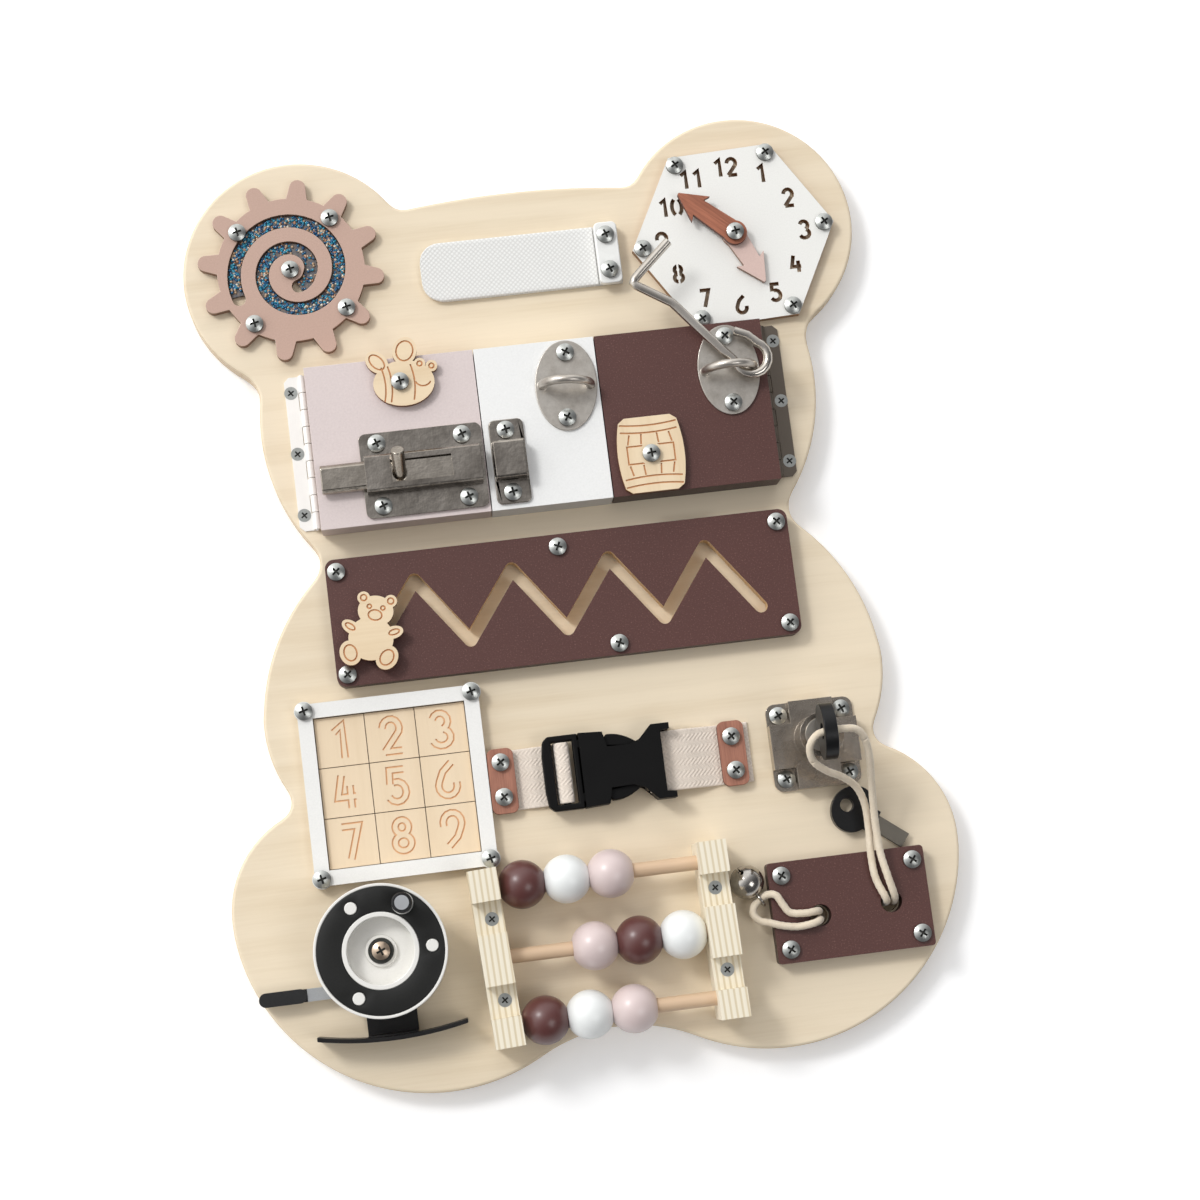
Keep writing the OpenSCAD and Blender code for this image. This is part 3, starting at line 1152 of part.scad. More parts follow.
// ---------- abacus ----------
post_w = 12.4;
post_l = 74.4;
post_y = -151.8;
post_left = [-48.2, post_y];
post_right = [47.6, post_y];
post_tilt = [2.9, 0.8];
rod_z = T + 13;
rod_y = [-122.8, -152, -180];
pad_h = 15.5;               // height of the lowered pads that carry the screws
module post(c, a, screws) {
    difference() {
        at(c, T) rotate(a) translate([-post_w / 2, 0, 0]) rotate([90, 0, 90]) linear_extrude(post_w)
            difference() {
                translate([-post_l / 2, 0]) square([post_l, post_h]);
                for (y = [23.6, -11.4]) translate([y - 13.6, pad_h]) square([13.6, 20]);
            }
        for (p = screws) {
            at(p, T + pad_h - 1.4) cylinder(r1 = 1.4, r2 = sunk_r, h = 1.4 + eps, $fn = 32);
            at(p, T - 1) cylinder(r = 1.4, h = 40, $fn = 24);
        }
        for (y = rod_y) translate([c[0] < 0 ? c[0] - 4 : c[0] - 40, y, rod_z]) rotate([0, 90, 0])
            cylinder(d = rod_d, h = 44, $fn = 40);
    }
}
module abacus_posts() {
    color("#e2d4b0") {
        post(post_left, post_tilt[0], [post_screws[0], post_screws[1]]);
        post(post_right, post_tilt[1], [post_screws[2], post_screws[3]]);
    }
}
module abacus_rods() {
    color("#d3a878") for (y = rod_y) translate([post_left[0] - 4, y, rod_z]) rotate([0, 90, 0])
        cylinder(d = rod_d, h = post_right[0] + 4 - post_left[0] + 4, $fn = 40);
}
bead_bore = rod_d / 2 + pin_gap;
function inner_left(y) = post_left[0] + post_w / 2 / cos(post_tilt[0]) - (y - post_y) * tan(post_tilt[0]);
function inner_right(y) = post_right[0] - post_w / 2 / cos(post_tilt[1]) - (y - post_y) * tan(post_tilt[1]);
bead_pitch = bead_l + 0.05;
function bead_x(row, i) = row == 1 ? inner_right(rod_y[1]) - 0.5 - (2.5 - i) * bead_pitch :
    inner_left(rod_y[row]) + 0.5 + (i + 0.5) * bead_pitch;
BEAD_COLOURS = [["#5b3330", "#eeeeea", "#d9c6c1"], ["#d9c6c1", "#5b3330", "#eeeeea"], ["#5b3330",
    "#eeeeea", "#d9c6c1"]];
module bead(row, i) {
    color(BEAD_COLOURS[row][i]) translate([bead_x(row, i), rod_y[row], rod_z]) rotate([0, 90, 0])
        difference() {
            intersection() {
                sphere(d = bead_d, $fn = 72);
                cylinder(d = 30, h = bead_l, center = true, $fn = 48);
            }
            cylinder(r = bead_bore, h = 30, center = true, $fn = 40);
        }
}

// ---------- every fastener that goes into the board ----------
module board_screws() {
    color("#c9ccce") {
        for (p = maze_screws) pan_screw(p, T + maze_t, maze_t + grip, 12);
        for (p = clock_screws) pan_screw(p, T + dial_t, dial_t + grip, 30);
        pan_screw(clock_c, hand_top + run_gap, hand_top + run_gap - T + grip, 8);
        for (p = tape_screws) pan_screw(p, clamp_z + clamp_t, clamp_z + clamp_t - T + grip);
        for (p = zig_screws) pan_screw(p, T + zig_t, zig_t + grip, 40);
        for (p = zig_mid_screws) pan_screw(p, T + zig_t, zig_t + grip, 65);
        for (p = frame_screws) pan_screw(p, T + frame_t, frame_t + grip, 15);
        for (p = cord_screws) pan_screw(p, cord_top, cord_plate_t + grip, 50);
        for (p = strap_screws) pan_screw(p, T + web_t + strap_clamp_t, web_t + strap_clamp_t + grip, 35);
        for (p = lock_screws) pan_screw(p, T + 1.6, 1.6 + grip, 25);
        for (p = keeper_screws) pan_screw(p, door_top + sheet_t, 14, 10);
        for (p = panel_staple_screws) pan_screw(p, door_top + plate_t, 14, 55);
        for (s = [-1, 1], p = hinge_screws(s)) sunk_screw(p, T + leaf_t, leaf_t + grip);
        for (p = post_screws) sunk_screw(p, T + pad_h, pad_h + grip);
        at(reel_c, post_stub) cylinder(r = 5.4, h = 0.8, $fn = 48);
        pan_screw(reel_c, post_stub + 0.8, 6.5, 22);
    }
}

ROWS = ["top", "middle", "bottom"];
board();
gear_maze();
granules();
tape_base();
tape_flap();
tape_clamp();
clock_face();
hour_hand();
minute_hand();
center_panel();
bolt_keeper();
panel_staple();
hinge_fixed_leaves();
hinge_pins();
pink_door();
pink_door_leaf();
bolt_housing();
bolt_bar();
bee();
pink_door_screws();
brown_door();
brown_door_leaf();
door_staple();
hook();
barrel();
brown_door_screws();
zigzag_plate();
slider_pin();
bear();
number_frame();
number_tiles();
strap_clamps();
straps();
buckle_plug();
buckle_socket();
lock_case();
lock_tongue();
lock_cylinder();
key();
spare_key();
key_cord();
cord_plate();
bell();
bell_cord();
reel_bracket();
reel_spool();
reel_knob();
reel_lever();
abacus_posts();
abacus_rods();
board_screws();
for (row = [0 : 2], i = [0 : 2])
    bead(row, i);
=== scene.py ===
"""Looks of a wooden busy board: a bear-shaped plywood board that carries screwed-on play modules.

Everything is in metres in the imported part's frame: the board lies on its back, and +Y runs up the bear.
"""
import math
import random

import bmesh
import bpy
from mathutils import Matrix, Vector


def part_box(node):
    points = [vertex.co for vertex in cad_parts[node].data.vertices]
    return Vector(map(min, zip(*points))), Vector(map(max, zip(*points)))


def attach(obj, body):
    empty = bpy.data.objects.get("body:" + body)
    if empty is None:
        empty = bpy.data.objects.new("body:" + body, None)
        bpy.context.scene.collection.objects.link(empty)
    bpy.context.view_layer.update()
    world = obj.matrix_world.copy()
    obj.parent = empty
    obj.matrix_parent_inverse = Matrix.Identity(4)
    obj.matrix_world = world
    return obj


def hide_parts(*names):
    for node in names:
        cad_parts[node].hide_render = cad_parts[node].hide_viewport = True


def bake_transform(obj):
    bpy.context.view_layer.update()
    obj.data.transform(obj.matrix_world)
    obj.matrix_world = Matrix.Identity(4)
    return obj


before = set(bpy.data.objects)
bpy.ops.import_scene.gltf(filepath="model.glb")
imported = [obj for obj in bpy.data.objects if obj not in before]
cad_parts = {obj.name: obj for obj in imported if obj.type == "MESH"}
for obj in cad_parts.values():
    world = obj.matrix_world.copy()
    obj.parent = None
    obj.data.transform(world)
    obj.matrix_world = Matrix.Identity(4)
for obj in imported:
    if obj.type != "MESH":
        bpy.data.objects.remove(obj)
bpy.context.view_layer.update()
MM = 0.001
BOARD_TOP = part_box("board")[1].z

# ---------- camera ----------
# The photograph looks down on the lying board from its lower left, about a metre away.
CAMERA_AT = Vector((-66.7, -146.1, 1058.9)) * MM
camera = bpy.data.objects.new("camera", bpy.data.cameras.new("camera"))
bpy.context.scene.collection.objects.link(camera)
bpy.context.scene.camera = camera
tilt = (Matrix.Rotation(math.radians(7.25), 3, "Z") @ Matrix.Rotation(math.radians(-7.67), 3, "X")
        @ Matrix.Rotation(math.radians(4.48), 3, "Y"))
camera.matrix_world = Matrix.Translation(CAMERA_AT) @ tilt.transposed().to_4x4()
camera.data.sensor_width = 36
camera.data.lens = 73.1
camera.data.clip_start = 0.05
camera.data.clip_end = 20

# ---------- cotton cords ----------
# Two soft cotton cords, laid from three strands. Each goes through the cord plate as a loop whose ends
# are knotted in a well behind it: the long one holds the key in the lock, the short one holds the bell.


def put(socket, value):
    """Link a Flow to a socket, or set the socket's own value."""
    if isinstance(value, Flow):
        socket.id_data.links.new(value.socket, socket)
    else:
        socket.default_value = value


class Flow:
    """One socket of a shader tree. Sums and products of Flows add Math nodes; node() adds any other."""

    def __init__(self, socket):
        self.socket = socket

    def node(self, kind, settings=None, sockets=None, out=0):
        made = self.socket.id_data.nodes.new("ShaderNode" + kind)
        for name, value in (settings or {}).items():
            if name == "stops":
                ramp = made.color_ramp
                while len(ramp.elements) < len(value):
                    ramp.elements.new(0.5)
                for stop, (at, colour) in zip(ramp.elements, value):
                    stop.position, stop.color = at, colour
            elif name == "steps":
                made.color_ramp.interpolation = "CONSTANT"
            else:
                setattr(made, name, value)
        for name, value in (sockets or {}).items():
            put(made.inputs[name], value)
        return Flow(made.outputs[out])

    def math(self, operation, *values):
        """A Math node's result for the values given, or else for this one alone."""
        return self.node("Math", {"operation": operation}, dict(enumerate(values or (self,))))

    def __add__(self, other):
        return self.math("ADD", self, other)

    __radd__ = __add__

    def __sub__(self, other):
        return self.math("SUBTRACT", self, other)

    def __rsub__(self, other):
        return self.math("SUBTRACT", other, self)

    def __mul__(self, other):
        return self.math("MULTIPLY", self, other)

    __rmul__ = __mul__

    def __truediv__(self, other):
        return self.math("DIVIDE", self, other)

    def __rtruediv__(self, other):
        return self.math("DIVIDE", other, self)

    def above(self, low, soft=0.0):
        """1 where the value is above low, over a soft edge."""
        if soft == 0:
            return self.math("GREATER_THAN", self, low)
        return self.node("MapRange", {"clamp": True}, {0: self, 1: low - soft, 2: low + soft, 3: 0.0, 4: 1.0})

    def below(self, high, soft=0.0):
        return 1 - self.above(high, soft)

    def mix(self, low, high):
        """The colour that runs from low to high with this value."""
        return self.node("Mix", {"data_type": "RGBA"}, {0: self, 6: low, 7: high}, 2)

    def ramp(self, *stops, steps=False):
        """A colour ramp of (position, colour) stops along this value, smooth or in steps."""
        return self.node("ValToRGB", {"steps": True, "stops": stops} if steps else {"stops": stops}, {0: self})

    def part(self, letter):
        """One coordinate of a vector."""
        return self.node("SeparateXYZ", {}, {0: self}, "XYZ".index(letter))

    def stretched(self, x, y, z):
        return self.node("VectorMath", {"operation": "MULTIPLY"}, {0: self, 1: (x, y, z)})

    def grain(self, scale, detail=2.0, rough=0.5):
        """Noise from 0 to 1 with features one over scale metres across."""
        return self.node("TexNoise", {}, {"Vector": self, "Scale": scale, "Detail": detail, "Roughness": rough})

    def bump(self, height, metres, strength=1.0):
        return self.node("Bump", {}, {"Height": height, "Distance": metres, "Strength": strength})


def ink(red, green, blue):
    """A colour seen on screen, from 0 to 255, as Blender's linear colour."""
    return tuple((v / 255 / 12.92 if v <= 10 else ((v / 255 + 0.055) / 1.055) ** 2.4)
                 for v in (red, green, blue)) + (1.0,)


def finish(name, **sockets):
    """A new material: itself, the place on the object as a Flow, and a way to feed its shader."""
    material = bpy.data.materials.new(name)
    material.use_nodes = True
    tree = material.node_tree
    shader = tree.nodes["Principled BSDF"]
    place = Flow(tree.nodes.new("ShaderNodeTexCoord").outputs["Object"])

    def feed(**values):
        for socket, value in values.items():
            put(shader.inputs[socket.replace("_", " ")], value)

    feed(**sockets)
    return material, place, feed


def facing(place):
    """How far the surface faces up, from -1 to 1, in the object's own directions."""
    return place.node("TexCoord", {}, {}, 1).part("Z")


def cotton(name):
    material, place, feed = finish(name, Sheen_Weight=0.35, Sheen_Roughness=0.5)
    lint = place.grain(2600, 4)
    soft = place.grain(320, 2)
    feed(Base_Color=(lint * 0.6 + soft * 0.4).mix(ink(206, 186, 156), ink(246, 236, 218)),
         Roughness=0.85 + lint * 0.1, Normal=place.bump(lint, 0.00022, 0.8))
    return material


def curve_through(points, steps):
    """Catmull-Rom points through the route, as in the part's source."""
    ends = [points[0]] + points + [points[-1]]
    made = []
    for i in range(len(points) - 1):
        a, b, c, d = (Vector(p) for p in ends[i:i + 4])
        for k in range(steps):
            t = k / steps
            made.append(0.5 * (2 * b + (c - a) * t + (2 * a - 5 * b + 4 * c - d) * t * t
                               + (3 * b - a - 3 * c + d) * t * t * t))
    return made + [Vector(points[-1])]


def run_of(path):
    """Distance along a path at each of its points."""
    run = [0.0]
    for a, b in zip(path, path[1:]):
        run.append(run[-1] + (b - a).length)
    return run


def even(path, pitch):
    """The same path with points that pitch apart."""
    run = run_of(path)
    count = max(2, round(run[-1] / pitch))
    made, k = [], 0
    for i in range(count + 1):
        s = run[-1] * i / count
        while k < len(path) - 2 and run[k + 1] < s:
            k += 1
        made.append(path[k].lerp(path[k + 1], (s - run[k]) / max(run[k + 1] - run[k], 1e-12)))
    return made


def new_piece(name, mesh_data, material, smooth=True):
    """A piece in the part's frame from (vertices, faces) or from a bmesh."""
    mesh = bpy.data.meshes.new(name)
    if isinstance(mesh_data, bmesh.types.BMesh):
        mesh_data.to_mesh(mesh)
        mesh_data.free()
    else:
        mesh.from_pydata(mesh_data[0], [], mesh_data[1])
    for polygon in mesh.polygons:
        polygon.use_smooth = smooth
    mesh.materials.append(material)
    piece = bpy.data.objects.new(name, mesh)
    bpy.context.scene.collection.objects.link(piece)
    return piece


def laid_cord(path, diameter, first, last, sides=30):
    """Tube along path[first:last+1] whose section has three strands that turn with the run."""
    run = run_of(path)
    across = (path[1] - path[0]).normalized().cross(Vector((0.31, 0.95, 0.05))).normalized()
    points, faces, middle = [], [], []
    for i, p in enumerate(path):
        way = (path[min(i + 1, len(path) - 1)] - path[max(i - 1, 0)]).normalized()
        across = (across - across.dot(way) * way).normalized()
        other = way.cross(across)
        if not first <= i <= last:
            continue
        lay = run[i] / 0.0078 * math.tau
        row = len(points)
        for k in range(sides):
            a = math.tau * k / sides
            strand = abs(math.cos(1.5 * (a - lay)))
            fibre = 0.012 * math.cos(13 * (a + 0.8 * lay))
            r = diameter / 2 * (0.88 + 0.14 * strand ** 0.6 + fibre)
            points.append(p + r * (math.cos(a) * across + math.sin(a) * other))
        middle.append(p)
        if row:
            for k in range(sides):
                m = (k + 1) % sides
                faces.append((row - sides + k, row - sides + m, row + m, row + k))
    faces.append(tuple(range(sides))[::-1])
    faces.append(tuple(range(len(points) - sides, len(points))))
    return (points, faces), middle


def declare_cord(middle):
    run_of(middle)[-1]


CORD_D = 3.2 * MM
KEY_ROUTE = [
    (124.2, -149.3, 8), (124.2, -149.3, 12), (124.2, -148.9, 17), (123.4, -146.3, 22.6), (121.4, -139, 25.2),
    (119.5, -129, 25.6), (118.8, -118, 27), (118.4, -108, 30.8), (117.9, -98, 36.6), (117.3, -88.6, 43.6),
    (115.2, -80.6, 49.8), (111.4, -76.7, 53.6), (106.4, -76, 55.2), (100.4, -76, 55.3), (94.8, -77.2, 54.6),
    (91.6, -81.6, 51.2), (93, -87.4, 46.4), (98.8, -91.8, 41.6), (106, -95, 36.6), (112, -99.6, 31.8),
    (115.4, -107, 27.2), (116.2, -117, 23.8), (115.8, -128, 22.6), (116.4, -138.4, 22.6), (119.4, -147, 22.8),
    (120.6, -148.9, 18.2), (120.4, -149.3, 12), (120.4, -149.3, 8)]
BELL_ROUTE = [
    (91.3, -149.4, 8), (91.3, -149.4, 12), (91.2, -149.5, 17.5), (89.4, -149.3, 21.8), (84.6, -149.6, 23.2),
    (78.2, -148.6, 22.3), (75.4, -144.8, 22.5), (73, -140.6, 22.5), (69.6, -139.9, 21.1), (66.4, -141.6, 19.6),
    (63.6, -144, 19.2), (62.8, -147.4, 19.3), (65, -150.4, 19.9), (69, -151.8, 21.4), (74, -153.6, 22.1),
    (80, -154.8, 22.2), (85, -154.6, 23.4), (88.9, -153.9, 22.9), (90.8, -153.1, 20.2), (91.2, -153, 16.5),
    (91.3, -153.2, 12), (91.3, -153.2, 8)]
cotton_lay = cotton("cotton cord")
key_path = even(curve_through([Vector(p) * MM for p in KEY_ROUTE], 14), 0.0009)
# The cord is one loop. It is cut into three pieces where it meets the lock: its two lower ends, and its loop
# between the lock and the key.
LOOP_FROM, LOOP_TO = Vector((115.2, -80.6, 49.8)) * MM, Vector((93, -87.4, 46.4)) * MM
cut_a = min(range(len(key_path)), key=lambda i: (key_path[i] - LOOP_FROM).length)
cut_b = min(range(len(key_path)), key=lambda i: (key_path[i] - LOOP_TO).length)
for cord_name, first, last, carried, near, far in (
        ("key_cord_rising", 0, cut_a, ("board_body", "lock_cylinder"), (0, -0.125, 0), (0, -0.088, 0)),
        ("key_cord_loop", cut_a, cut_b, ("lock_cylinder", "key"), (0, 0, 0.0505), (0, 0, 0.0545)),
        ("key_cord_falling", cut_b, len(key_path) - 1, ("board_body", "lock_cylinder"),
         (0, -0.125, 0), (0, -0.088, 0))):
    made, middle = laid_cord(key_path, CORD_D, first, last)
    piece = new_piece(cord_name, made, cotton_lay)
    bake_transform(piece)
    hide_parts("key_cord")
    declare_cord(middle)
bell_path = even(curve_through([Vector(p) * MM for p in BELL_ROUTE], 14), 0.0009)
made, middle = laid_cord(bell_path, CORD_D, 0, len(bell_path) - 1)
bell_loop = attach(new_piece("bell_loop_cord", made, cotton_lay), "board_body")
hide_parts("bell_cord")
declare_cord(middle)

# ---------- back board ----------
# One sheet of pale birch plywood, 12 mm thick, routed to the bear's outline with its edge rounded over and
# sanded, clear-coated matt. The grain runs across the bear, and the plies show along the edge.


def birch(name, pale=(235, 219, 192), deep=(222, 203, 172), along="x", plies="z", ply=1.35, burnt=None):
    """Bare birch plywood: grain along one axis, its plies seen on the sides, or their laser-burnt colour."""
    material, place, feed = finish(name, Coat_Weight=0.08, Coat_Roughness=0.35)
    squeeze = {"x": (0.05, 1, 1), "y": (1, 0.05, 1), "z": (1, 1, 0.05)}[along]
    fibres = place.stretched(*squeeze).grain(900, 5, 0.6)
    wide = place.stretched(*(0.3 if k == 0.05 else 1 for k in squeeze)).grain(22, 3)
    rings = place.stretched(*squeeze).grain(95, 3, 0.55)
    tone = rings * 0.5 + fibres * 0.2 + wide * 0.3
    lightest = (min(255, v + 8) for v in pale)
    face = tone.ramp((0.3, ink(*deep)), (0.52, ink(*pale)), (0.8, ink(*lightest)))
    axis = place.part(plies.upper())
    waver = place.grain(30) * 0.0004
    level = (axis + waver) / (ply * MM)
    phase = level.math("FRACT")
    dark_ply = phase.above(0.5, 0.06)
    side = dark_ply.mix(ink(*pale), ink(*(burnt or (196, 164, 120))))
    if burnt:
        less_burnt = (min(255, int(v * 1.35) + 12) for v in burnt)
        side = (fibres * 0.5 + dark_ply * 0.5).mix(ink(*burnt), ink(*less_burnt))
    normal = place.node("TexCoord", {}, {}, 1).part(plies.upper())
    flat = normal.math("ABSOLUTE").above(0.6, 0.12)
    feed(Base_Color=flat.mix(side, face), Roughness=0.5 + fibres * 0.15,
         Normal=place.bump(fibres * 0.7 + rings * 0.3, 0.00008, 0.7))
    return material, place, feed, face, flat


def dress(node, material, edge=0.0, segments=2, angle=35, group=None, soft=42):
    """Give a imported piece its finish, and break its sharp edges by edge metres."""
    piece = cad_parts[node]
    mesh = piece.data
    mesh.materials.clear()
    mesh.materials.append(material)
    for polygon in mesh.polygons:
        polygon.material_index = 0
        polygon.use_smooth = True
    weld = piece.modifiers.new("weld", "WELD")
    weld.merge_threshold = 1e-6
    if edge:
        flat = piece.modifiers.new("flat", "DECIMATE")
        flat.decimate_type = "DISSOLVE"
        flat.angle_limit = math.radians(0.4)
        bevel = piece.modifiers.new("edge", "BEVEL")
        bevel.width, bevel.segments = edge, segments
        bevel.limit_method, bevel.angle_limit = "ANGLE", math.radians(angle)
        bevel.use_clamp_overlap = True
        bevel.harden_normals = False
        if group:
            bevel.limit_method, bevel.vertex_group = "VGROUP", group
    split = piece.modifiers.new("sharp", "EDGE_SPLIT")
    split.split_angle = math.radians(soft)
    split.use_edge_sharp = False
    level = piece.modifiers.new("even", "WEIGHTED_NORMAL")
    level.mode, level.weight = ("FACE_AREA", 100) if edge else ("CORNER_ANGLE", 50)
    level.keep_sharp = True
    return piece


board_birch = birch("birch board")[0]
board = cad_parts["board"]
rim = board.vertex_groups.new(name="rim")
for polygon in board.data.polygons:
    if abs(polygon.normal.z) < 0.1 and polygon.area > 5e-6:
        rim.add(list(polygon.vertices), 1.0, "REPLACE")
dress("board", board_birch, 2.2 * MM, 4, group="rim", soft=35)

# ---------- screws ----------
# Bright zinc-plated steel screws with cross recesses: pan heads hold the modules, small countersunk ones the
# hinges and the bead posts. The screw of the reel is yellow-plated.
REEL_AT = (-95.2 * MM, -142.9 * MM)


def metal(name, bright, dark, rough, patina=0.5, scale=130, brushed=(1, 1, 1), grit=0.00003, ripple=0.0):
    """Bare or plated metal with cloudy tarnish and fine scratches. A pressed sheet also ripples."""
    material, place, feed = finish(name, Metallic=1.0)
    cloud = place.grain(scale, 4, 0.62)
    scratch = place.stretched(*brushed).grain(2100, 3)
    tarnish = (cloud - 0.5) * 2.2 * patina + scratch * 0.25 + 0.3
    colour = tarnish.mix(ink(*bright), ink(*dark))
    feed(Base_Color=colour, Roughness=rough + cloud * 0.16 + scratch * 0.1,
         Normal=place.bump(scratch * (0.6 * grit) + cloud * (0.4 * grit + ripple), 1.0, 0.6))
    return material, place, feed, colour


def away_from(place, x, y):
    """Distance in plan from a point, in metres."""
    dx, dy = place.part("X") - x, place.part("Y") - y
    return (dx * dx + dy * dy).math("SQRT")


zinc, place, feed, plating = metal("zinc plate", (204, 206, 202), (140, 142, 138), 0.2, 0.45, 500)
reel_screw = away_from(place, *REEL_AT).below(4 * MM)
boss = away_from(place, *REEL_AT)
boss = boss.above(3.9 * MM) * boss.below(8 * MM)
# screw faces that turn away from up, round the heads and down the cross, are darkened to (110, 110, 106):
# painted shade
upward = facing(place).above(0.45, 0.2)
plated_with_side_shade = upward.mix(ink(110, 110, 106), reel_screw.mix(plating, ink(190, 170, 150)))
feed(Base_Color=boss.mix(plated_with_side_shade, ink(226, 222, 210)), Metallic=1 - boss)
# the dark metal of the cross recesses is painted shade: the screws are one zinc throughout
recess_shade = metal("cross recess", (86, 86, 82), (50, 50, 48), 0.4, 0.5, 700)[0]
for screws in ("board_screws", "pink_door_screws", "brown_door_screws"):
    piece = dress(screws, zinc, soft=40)
    piece.data.materials.append(recess_shade)
    # a recess has a flat floor well below the top of its head, and upright walls round that floor; both take
    # the dark recess material, painted shade in the cross
    tops = {}
    for vertex in piece.data.vertices:
        cell = (round(vertex.co.x / 0.003), round(vertex.co.y / 0.003))
        tops[cell] = max(tops.get(cell, 0), vertex.co.z)
    floors = {}
    for q in piece.data.polygons:
        cell = (round(q.center.x / 0.003), round(q.center.y / 0.003))
        around = [(cell[0] + i, cell[1] + k) for i in (-1, 0, 1) for k in (-1, 0, 1)]
        if q.normal.z > 0.99995 and max(tops.get(c, 0) for c in around) - q.center.z > 0.35 * MM:
            q.material_index = 1
            for c in around:
                floors.setdefault(c, []).append(q.center.copy())
    for q in piece.data.polygons:
        spots = floors.get((round(q.center.x / 0.003), round(q.center.y / 0.003)), ())
        if abs(q.normal.z) < 0.05 and any((spot - q.center).to_2d().length < 1.3 * MM and q.center.z >= spot.z
                                          for spot in spots):
            q.material_index = 1

# ---------- toothed spiral maze ----------
# A twelve-toothed plate of painted fibreboard, 4 mm thick, with a spiral window cut through it. Its rim and
# teeth are chamfered, and the window holds a bed of loose glass granules.


def painted(name, colour, side, rough=0.45, stipple=0.00006, speck=0.06, chamfer=None, scale=1500):
    """Rolled paint with a fine stipple: side is the colour of the cut edges, chamfer that of the arris. A
    chamfer paler than the paint is worn paint and a painted highlight both, and a side that is only a darker
    copy of the paint is painted shade.
    """
    material, place, feed = finish(name, Coat_Weight=0.12, Coat_Roughness=0.4)
    fine = place.grain(scale, 3, 0.6)
    wide = place.grain(26, 3)
    light = tuple(min(255, v + 255 * speck * 0.7) for v in colour)
    dark = tuple(max(0, v - 255 * speck * 0.7) for v in colour)
    face = (fine * 0.75 + wide * 0.25).ramp((0.32, ink(*dark)), (0.5, ink(*colour)), (0.68, ink(*light)))
    up = facing(place)
    # arris: the chamfer colour on the bevels and the side colour on upright faces, with the painted highlight
    # and painted shade that these carry
    arris = up.above(0.2, 0.05).mix(ink(*side), ink(*(chamfer or colour)))
    feed(Base_Color=up.above(0.93, 0.03).mix(arris, face), Roughness=rough + fine * 0.2 - wide * 0.08,
         Normal=place.bump(fine, stipple, 0.9))
    return material


# its paler chamfer is pale worn fibreboard and a painted highlight both
maze_paint = painted("maze paint", (193, 161, 145), (132, 98, 78), 0.5, 0.00004, 0.03, (222, 198, 180))
dress("gear_maze", maze_paint, 0.35 * MM, 2, 40)
glass, place, feed = finish("granules", Coat_Weight=0.6, Coat_Roughness=0.12)
chance = place.node("NewGeometry", {}, {}, 8)
feed(Base_Color=chance.ramp(
    (0.0, ink(16, 96, 140)), (0.3, ink(38, 140, 168)), (0.56, ink(190, 160, 128)), (0.72, ink(172, 122, 90)),
    (0.8, ink(18, 74, 118)), (0.94, ink(214, 206, 190)), steps=True), Roughness=0.25 + place.grain(3000) * 0.2)
bed, place, feed = finish("granule bed")
feed(Base_Color=place.grain(700).mix(ink(20, 70, 100), ink(150, 130, 110)),
     Roughness=0.6 + place.grain(800) * 0.2, Normal=place.bump(place.grain(1400), 0.0002))
dress("granules", bed)
SPIRAL_AT = (-100.4, 154.9)
GRAINS = 1050
draw = random.Random(11)
grains = bmesh.new()
for i in range(GRAINS):
    turn = 8 + 624 * math.sqrt(draw.random() * 0.93 + 0.07) if i % 5 else 8 + 624 * draw.random()
    turn = 640 - turn
    radius = max(7, 26.8 - 0.0342 * turn) + draw.uniform(-2.35, 2.35)
    bearing = math.radians(202 - turn)
    size = draw.uniform(0.58, 0.84) * MM
    at = Vector((SPIRAL_AT[0] + radius * math.cos(bearing), SPIRAL_AT[1] + radius * math.sin(bearing),
                 14.05 + draw.uniform(-0.1, 0.45))) * MM
    turned = Matrix.Rotation(draw.uniform(0, math.pi), 4, (draw.random(), draw.random(), draw.random() + 0.1))
    bmesh.ops.create_icosphere(grains, subdivisions=1, radius=size, matrix=Matrix.Translation(at) @ turned
                               @ Matrix.Diagonal((1, draw.uniform(0.75, 1), draw.uniform(0.7, 1), 1)))
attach(new_piece("loose_granules", grains, glass), "board_body")

# ---------- hook and loop strip ----------
# Two layers of white woven hook and loop tape. The upper one peels up from its screwed white end clamp.


def webbing(name, pale, deep, rough=0.8):
    """Woven polyester or cotton tape with yarns that differ a little."""
    material, place, feed = finish(name, Sheen_Weight=0.25, Sheen_Roughness=0.5)
    yarn = place.grain(1900, 3)
    soil = place.grain(60, 3)
    feed(Base_Color=(yarn * 0.5 + soil * 0.5).mix(ink(*deep), ink(*pale)), Roughness=rough + yarn * 0.12,
         Normal=place.bump(yarn, 0.00009, 0.7))
    return material


